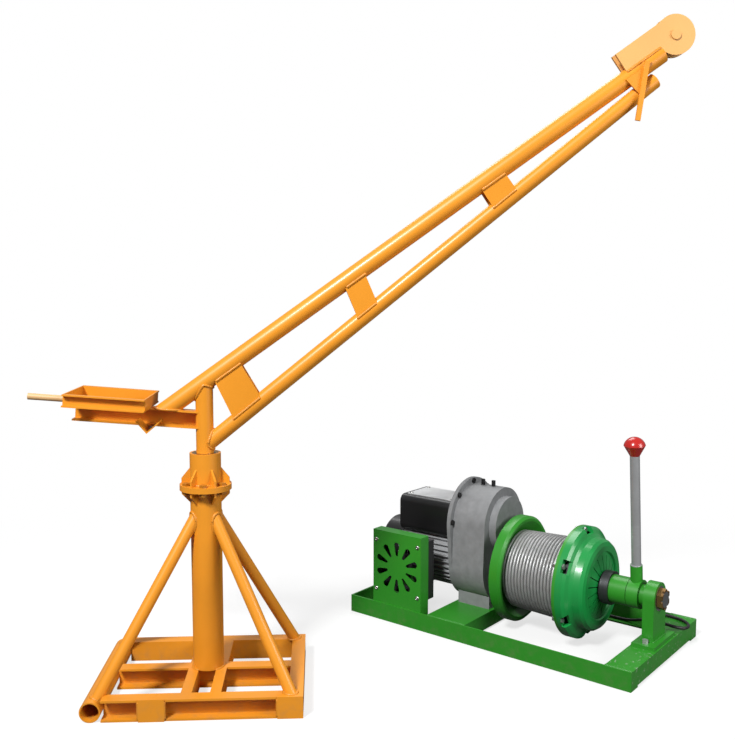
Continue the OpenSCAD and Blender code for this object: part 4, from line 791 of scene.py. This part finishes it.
class HOIST_OT_welds(Operator):
    """Weld beads where the crane's tubes and the winch's plates meet"""

    bl_idname = "hoist.welds"
    bl_label = "Weld beads"

    def execute(self, context):
        s = context.scene.hoist_welds
        c = context.scene.hoist_colours
        orange = painted("Weld orange", tone_of(c.orange, 0.86), chips=0.7, rough=(0.34, 0.5))
        green = painted("Weld green", tone_of(c.green, 0.86), chips=0.7, rough=(0.34, 0.5))
        for name, body, material, slot, loops, lines in (
            ("mast_welds", "base", orange, "orange_paint", self.mast_loops(), self.mast_lines()),
            ("jib_welds", "jib", orange, "orange_paint", self.jib_loops(), self.jib_lines()),
            ("winch_welds", "base", green, "green_paint", [], self.winch_lines()),
        ):
            parts = [self.bead(s, path, True) for path in loops]
            parts += [self.bead(s, path, False) for path in lines]
            obj = add_mesh(name, *joined(parts), body)
            obj.data.materials.append(material)
        return {"FINISHED"}

    def bead(self, s, path, closed):
        """Tube along the seam, spaced evenly, whose radius swells at each ripple."""
        ring = np.vstack([path, path[:1]]) if closed else path
        along = np.concatenate([[0], np.cumsum(np.linalg.norm(np.diff(ring, axis=0), axis=1))])
        count = max(4, int(along[-1] / s.ripple * 3))
        at = np.linspace(0, along[-1], count, endpoint=not closed)
        line = np.stack([np.interp(at, along, ring[:, k]) for k in range(3)], axis=1)
        radius = s.radius * (1 + 0.14 * np.sin(2 * np.pi * at / s.ripple))
        sides = 8
        if closed:
            return sweep(line, radius[:, None], sides, True)
        radius[[0, -1]] *= 0.45
        return capped(*sweep(line, radius[:, None], sides), sides)

    def mast_loops(self):
        """Rings at the two flanges, and both ends of each brace."""
        a = around()
        ring = np.stack([MAST_R * np.cos(a), MAST_R * np.sin(a), np.zeros_like(a)], axis=1)
        loops = [ring + UP * MAST_TOP, ring + UP * (MAST_TOP + 2 * FLANGE_T)]
        top = np.array([0.0, 0.0, BRACE_TOP])
        tube_mid = np.array([BASE_TUBE[0], 0.0, BASE_TUBE[1]])
        for y in (-BRACE_Y, BRACE_Y):
            for x, land in ((BASE_TUBE[0], BASE_TUBE[1]), (BRACE_RIGHT_X, MAST_FOOT)):
                ahead = unit(np.array([x, y, land]) - top)
                lines = tube_lines(top, ahead, BRACE_R, a)
                loops.append(meet_tube(lines, ahead, top, UP, MAST_R))
                if x < 0:
                    loops.append(meet_tube(lines, ahead, tube_mid, BASE_TUBE_AXIS, BASE_TUBE_R, far=False))
                else:
                    loops.append(meet_plane(lines, ahead, np.array([x, y, land]), UP))
        return loops

    def mast_lines(self):
        """Arcs at the mast's foot where the base carries it, and the edges of the front cover plates."""
        arcs = []
        for middle in (0.0, math.pi):
            a = middle + np.linspace(-1.0, 1.0, 40)
            foot = np.full_like(a, MAST_FOOT)
            arcs.append(np.stack([MAST_R * np.cos(a), MAST_R * np.sin(a), foot], axis=1))
        low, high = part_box("base_front_channel")
        front = low[1] + COVER_T
        for x in COVER_X:
            for edge in (x - COVER_W / 2, x + COVER_W / 2):
                if edge < high[0] - COVER_EDGE:
                    arcs.append(straight((edge, front, COVER_Z[0]), (edge, front, COVER_Z[1])))
        return arcs

    def jib_loops(self):
        """Post under the upper tube, lower tube on the post, and the upper tube on the tray's beam."""
        a = around()
        post = tube_lines(np.array([0.0, 0.0, UPPER_Z - 0.2]), UP, POST_R, a)
        upper_mid = np.array([0.0, 0.0, UPPER_Z])
        lower_mid = np.array([0.0, 0.0, LOWER_Z])
        beam_mid = np.array([0.0, 0.0, BEAM_Z])
        beam_top = np.array([math.sin(BEAM_SLOPE), 0.0, math.cos(BEAM_SLOPE)])
        return [
            meet_tube(post, UP, upper_mid, UPPER_DIR, UPPER_R, far=False),
            meet_tube(tube_lines(lower_mid, LOWER_DIR, LOWER_R, a), LOWER_DIR, lower_mid, UP, POST_R),
            meet_plane(tube_lines(upper_mid, UPPER_DIR, UPPER_R, a), UPPER_DIR, beam_mid, beam_top),
        ]

    def jib_lines(self):
        """Edges of the gusset plates and of the head's cheeks along the tubes."""
        lines = []
        for mid, ahead, radius, shares, way in (
            (np.array([0, 0, UPPER_Z]), UPPER_DIR, UPPER_R, GUSSET_UPPER, -1),
            (np.array([0, 0, LOWER_Z]), LOWER_DIR, LOWER_R, GUSSET_LOWER, 1),
        ):
            top = np.array([-ahead[2], 0.0, ahead[0]])
            out = way * math.sqrt(radius**2 - GUSSET_Y**2) * top
            for span in shares:
                for y in (-GUSSET_Y, GUSSET_Y):
                    side, reach = mid + out + [0, y, 0], ahead * UPPER_REACH / ahead[0]
                    lines.append(straight(*(side + reach * share for share in span)))
        tip = np.array([0, 0, UPPER_Z]) + UPPER_DIR * UPPER_REACH / UPPER_DIR[0]
        top = np.array([-UPPER_DIR[2], 0.0, UPPER_DIR[0]])
        out = math.sqrt(UPPER_R**2 - CHEEK_Y**2) * top
        for y in (-CHEEK_Y, CHEEK_Y):
            lines.append(straight(tip - UPPER_DIR * CHEEK_BACK + out + [0, y, 0], tip + out + [0, y, 0]))
        return lines

    def winch_lines(self):
        """Seams of the cross beams on the rails, and of the pedestal on its foot."""
        lines = []
        for y in (-RAIL_IN, RAIL_IN):
            for x0, x1 in (BED_X, END_BEAM_X):
                lines.append(in_winch(straight((x0, y, RAIL_TOP - BEAD_SINK), (x1, y, RAIL_TOP - BEAD_SINK))))
        for x in PEDESTAL_X:
            lines.append(in_winch(straight((x, -PEDESTAL_Y, PEDESTAL_FOOT), (x, PEDESTAL_Y, PEDESTAL_FOOT))))
        return lines


class HOIST_OT_screws(Operator):
    """Round-headed screws of the fan guard and of the terminal box's plate"""

    bl_idname = "hoist.screws"
    bl_label = "Screws"

    def execute(self, context):
        guard = [GUARD_MID + [sx * GUARD_SCREW, 0, sz * GUARD_SCREW] for sx in (-1, 1) for sz in (-1, 1)]
        plate = [(x, y, PLATE_TOP) for x in PLATE_X for y in (-PLATE_Y, PLATE_Y)]
        parts = [self.screw(in_winch(p), -WINCH_SIDE, GUARD_SCREW_R) for p in guard]
        parts += [self.screw(in_winch(p), UP, PLATE_SCREW_R) for p in plate]
        obj = add_mesh("panel_screws", *joined(parts), "base")
        obj.data.materials.append(machined("Screw zinc", (0.50, 0.50, 0.48), scale=3.0, rough=(0.25, 0.4)))
        return {"FINISHED"}

    def screw(self, place, axis, r):
        """Domed head: radius r cos a at height r sin a / 2, with a sunk middle for the driver."""
        a = np.linspace(0.0, 1.25, 7)
        profile = [(r, 0.0)] + list(zip(r * np.cos(a), 0.12 * r + 0.5 * r * np.sin(a)))
        profile += [(0.28 * r, 0.3 * r), (0.0, 0.3 * r)]
        return turned(profile, place, axis, 20)


class HOIST_PT_pieces(Panel):
    """Lists the hoist's operators and settings"""

    bl_idname = "HOIST_PT_pieces"
    bl_label = "Material hoist"
    bl_space_type = "VIEW_3D"
    bl_region_type = "UI"
    bl_category = "Hoist"

    def draw(self, context):
        for operator in OPERATORS:
            self.layout.operator(operator.bl_idname)
        for name, group in SETTINGS.items():
            for setting in group.__annotations__:
                self.layout.prop(getattr(context.scene, name), setting)


SETTINGS = {"hoist_camera": HoistCamera, "hoist_colours": HoistColours, "hoist_rope": HoistRope,
            "hoist_cord": HoistCord, "hoist_welds": HoistWelds}
OPERATORS = [HOIST_OT_stage, HOIST_OT_cord, HOIST_OT_crane_finish, HOIST_OT_winch_finish, HOIST_OT_rope,
             HOIST_OT_welds, HOIST_OT_screws]
CLASSES = [*SETTINGS.values(), *OPERATORS, HOIST_PT_pieces]


def register():
    for cls in CLASSES:
        bpy.utils.register_class(cls)
    for name, group in SETTINGS.items():
        setattr(bpy.types.Scene, name, PointerProperty(type=group))


def unregister():
    for name in SETTINGS:
        delattr(bpy.types.Scene, name)
    for cls in reversed(CLASSES):
        bpy.utils.unregister_class(cls)


def main():
    """Builds the whole picture."""
    register()
    for operator in OPERATORS:
        space, name = operator.bl_idname.split(".")
        getattr(getattr(bpy.ops, space), name)()


if __name__ == "__main__":
    main()
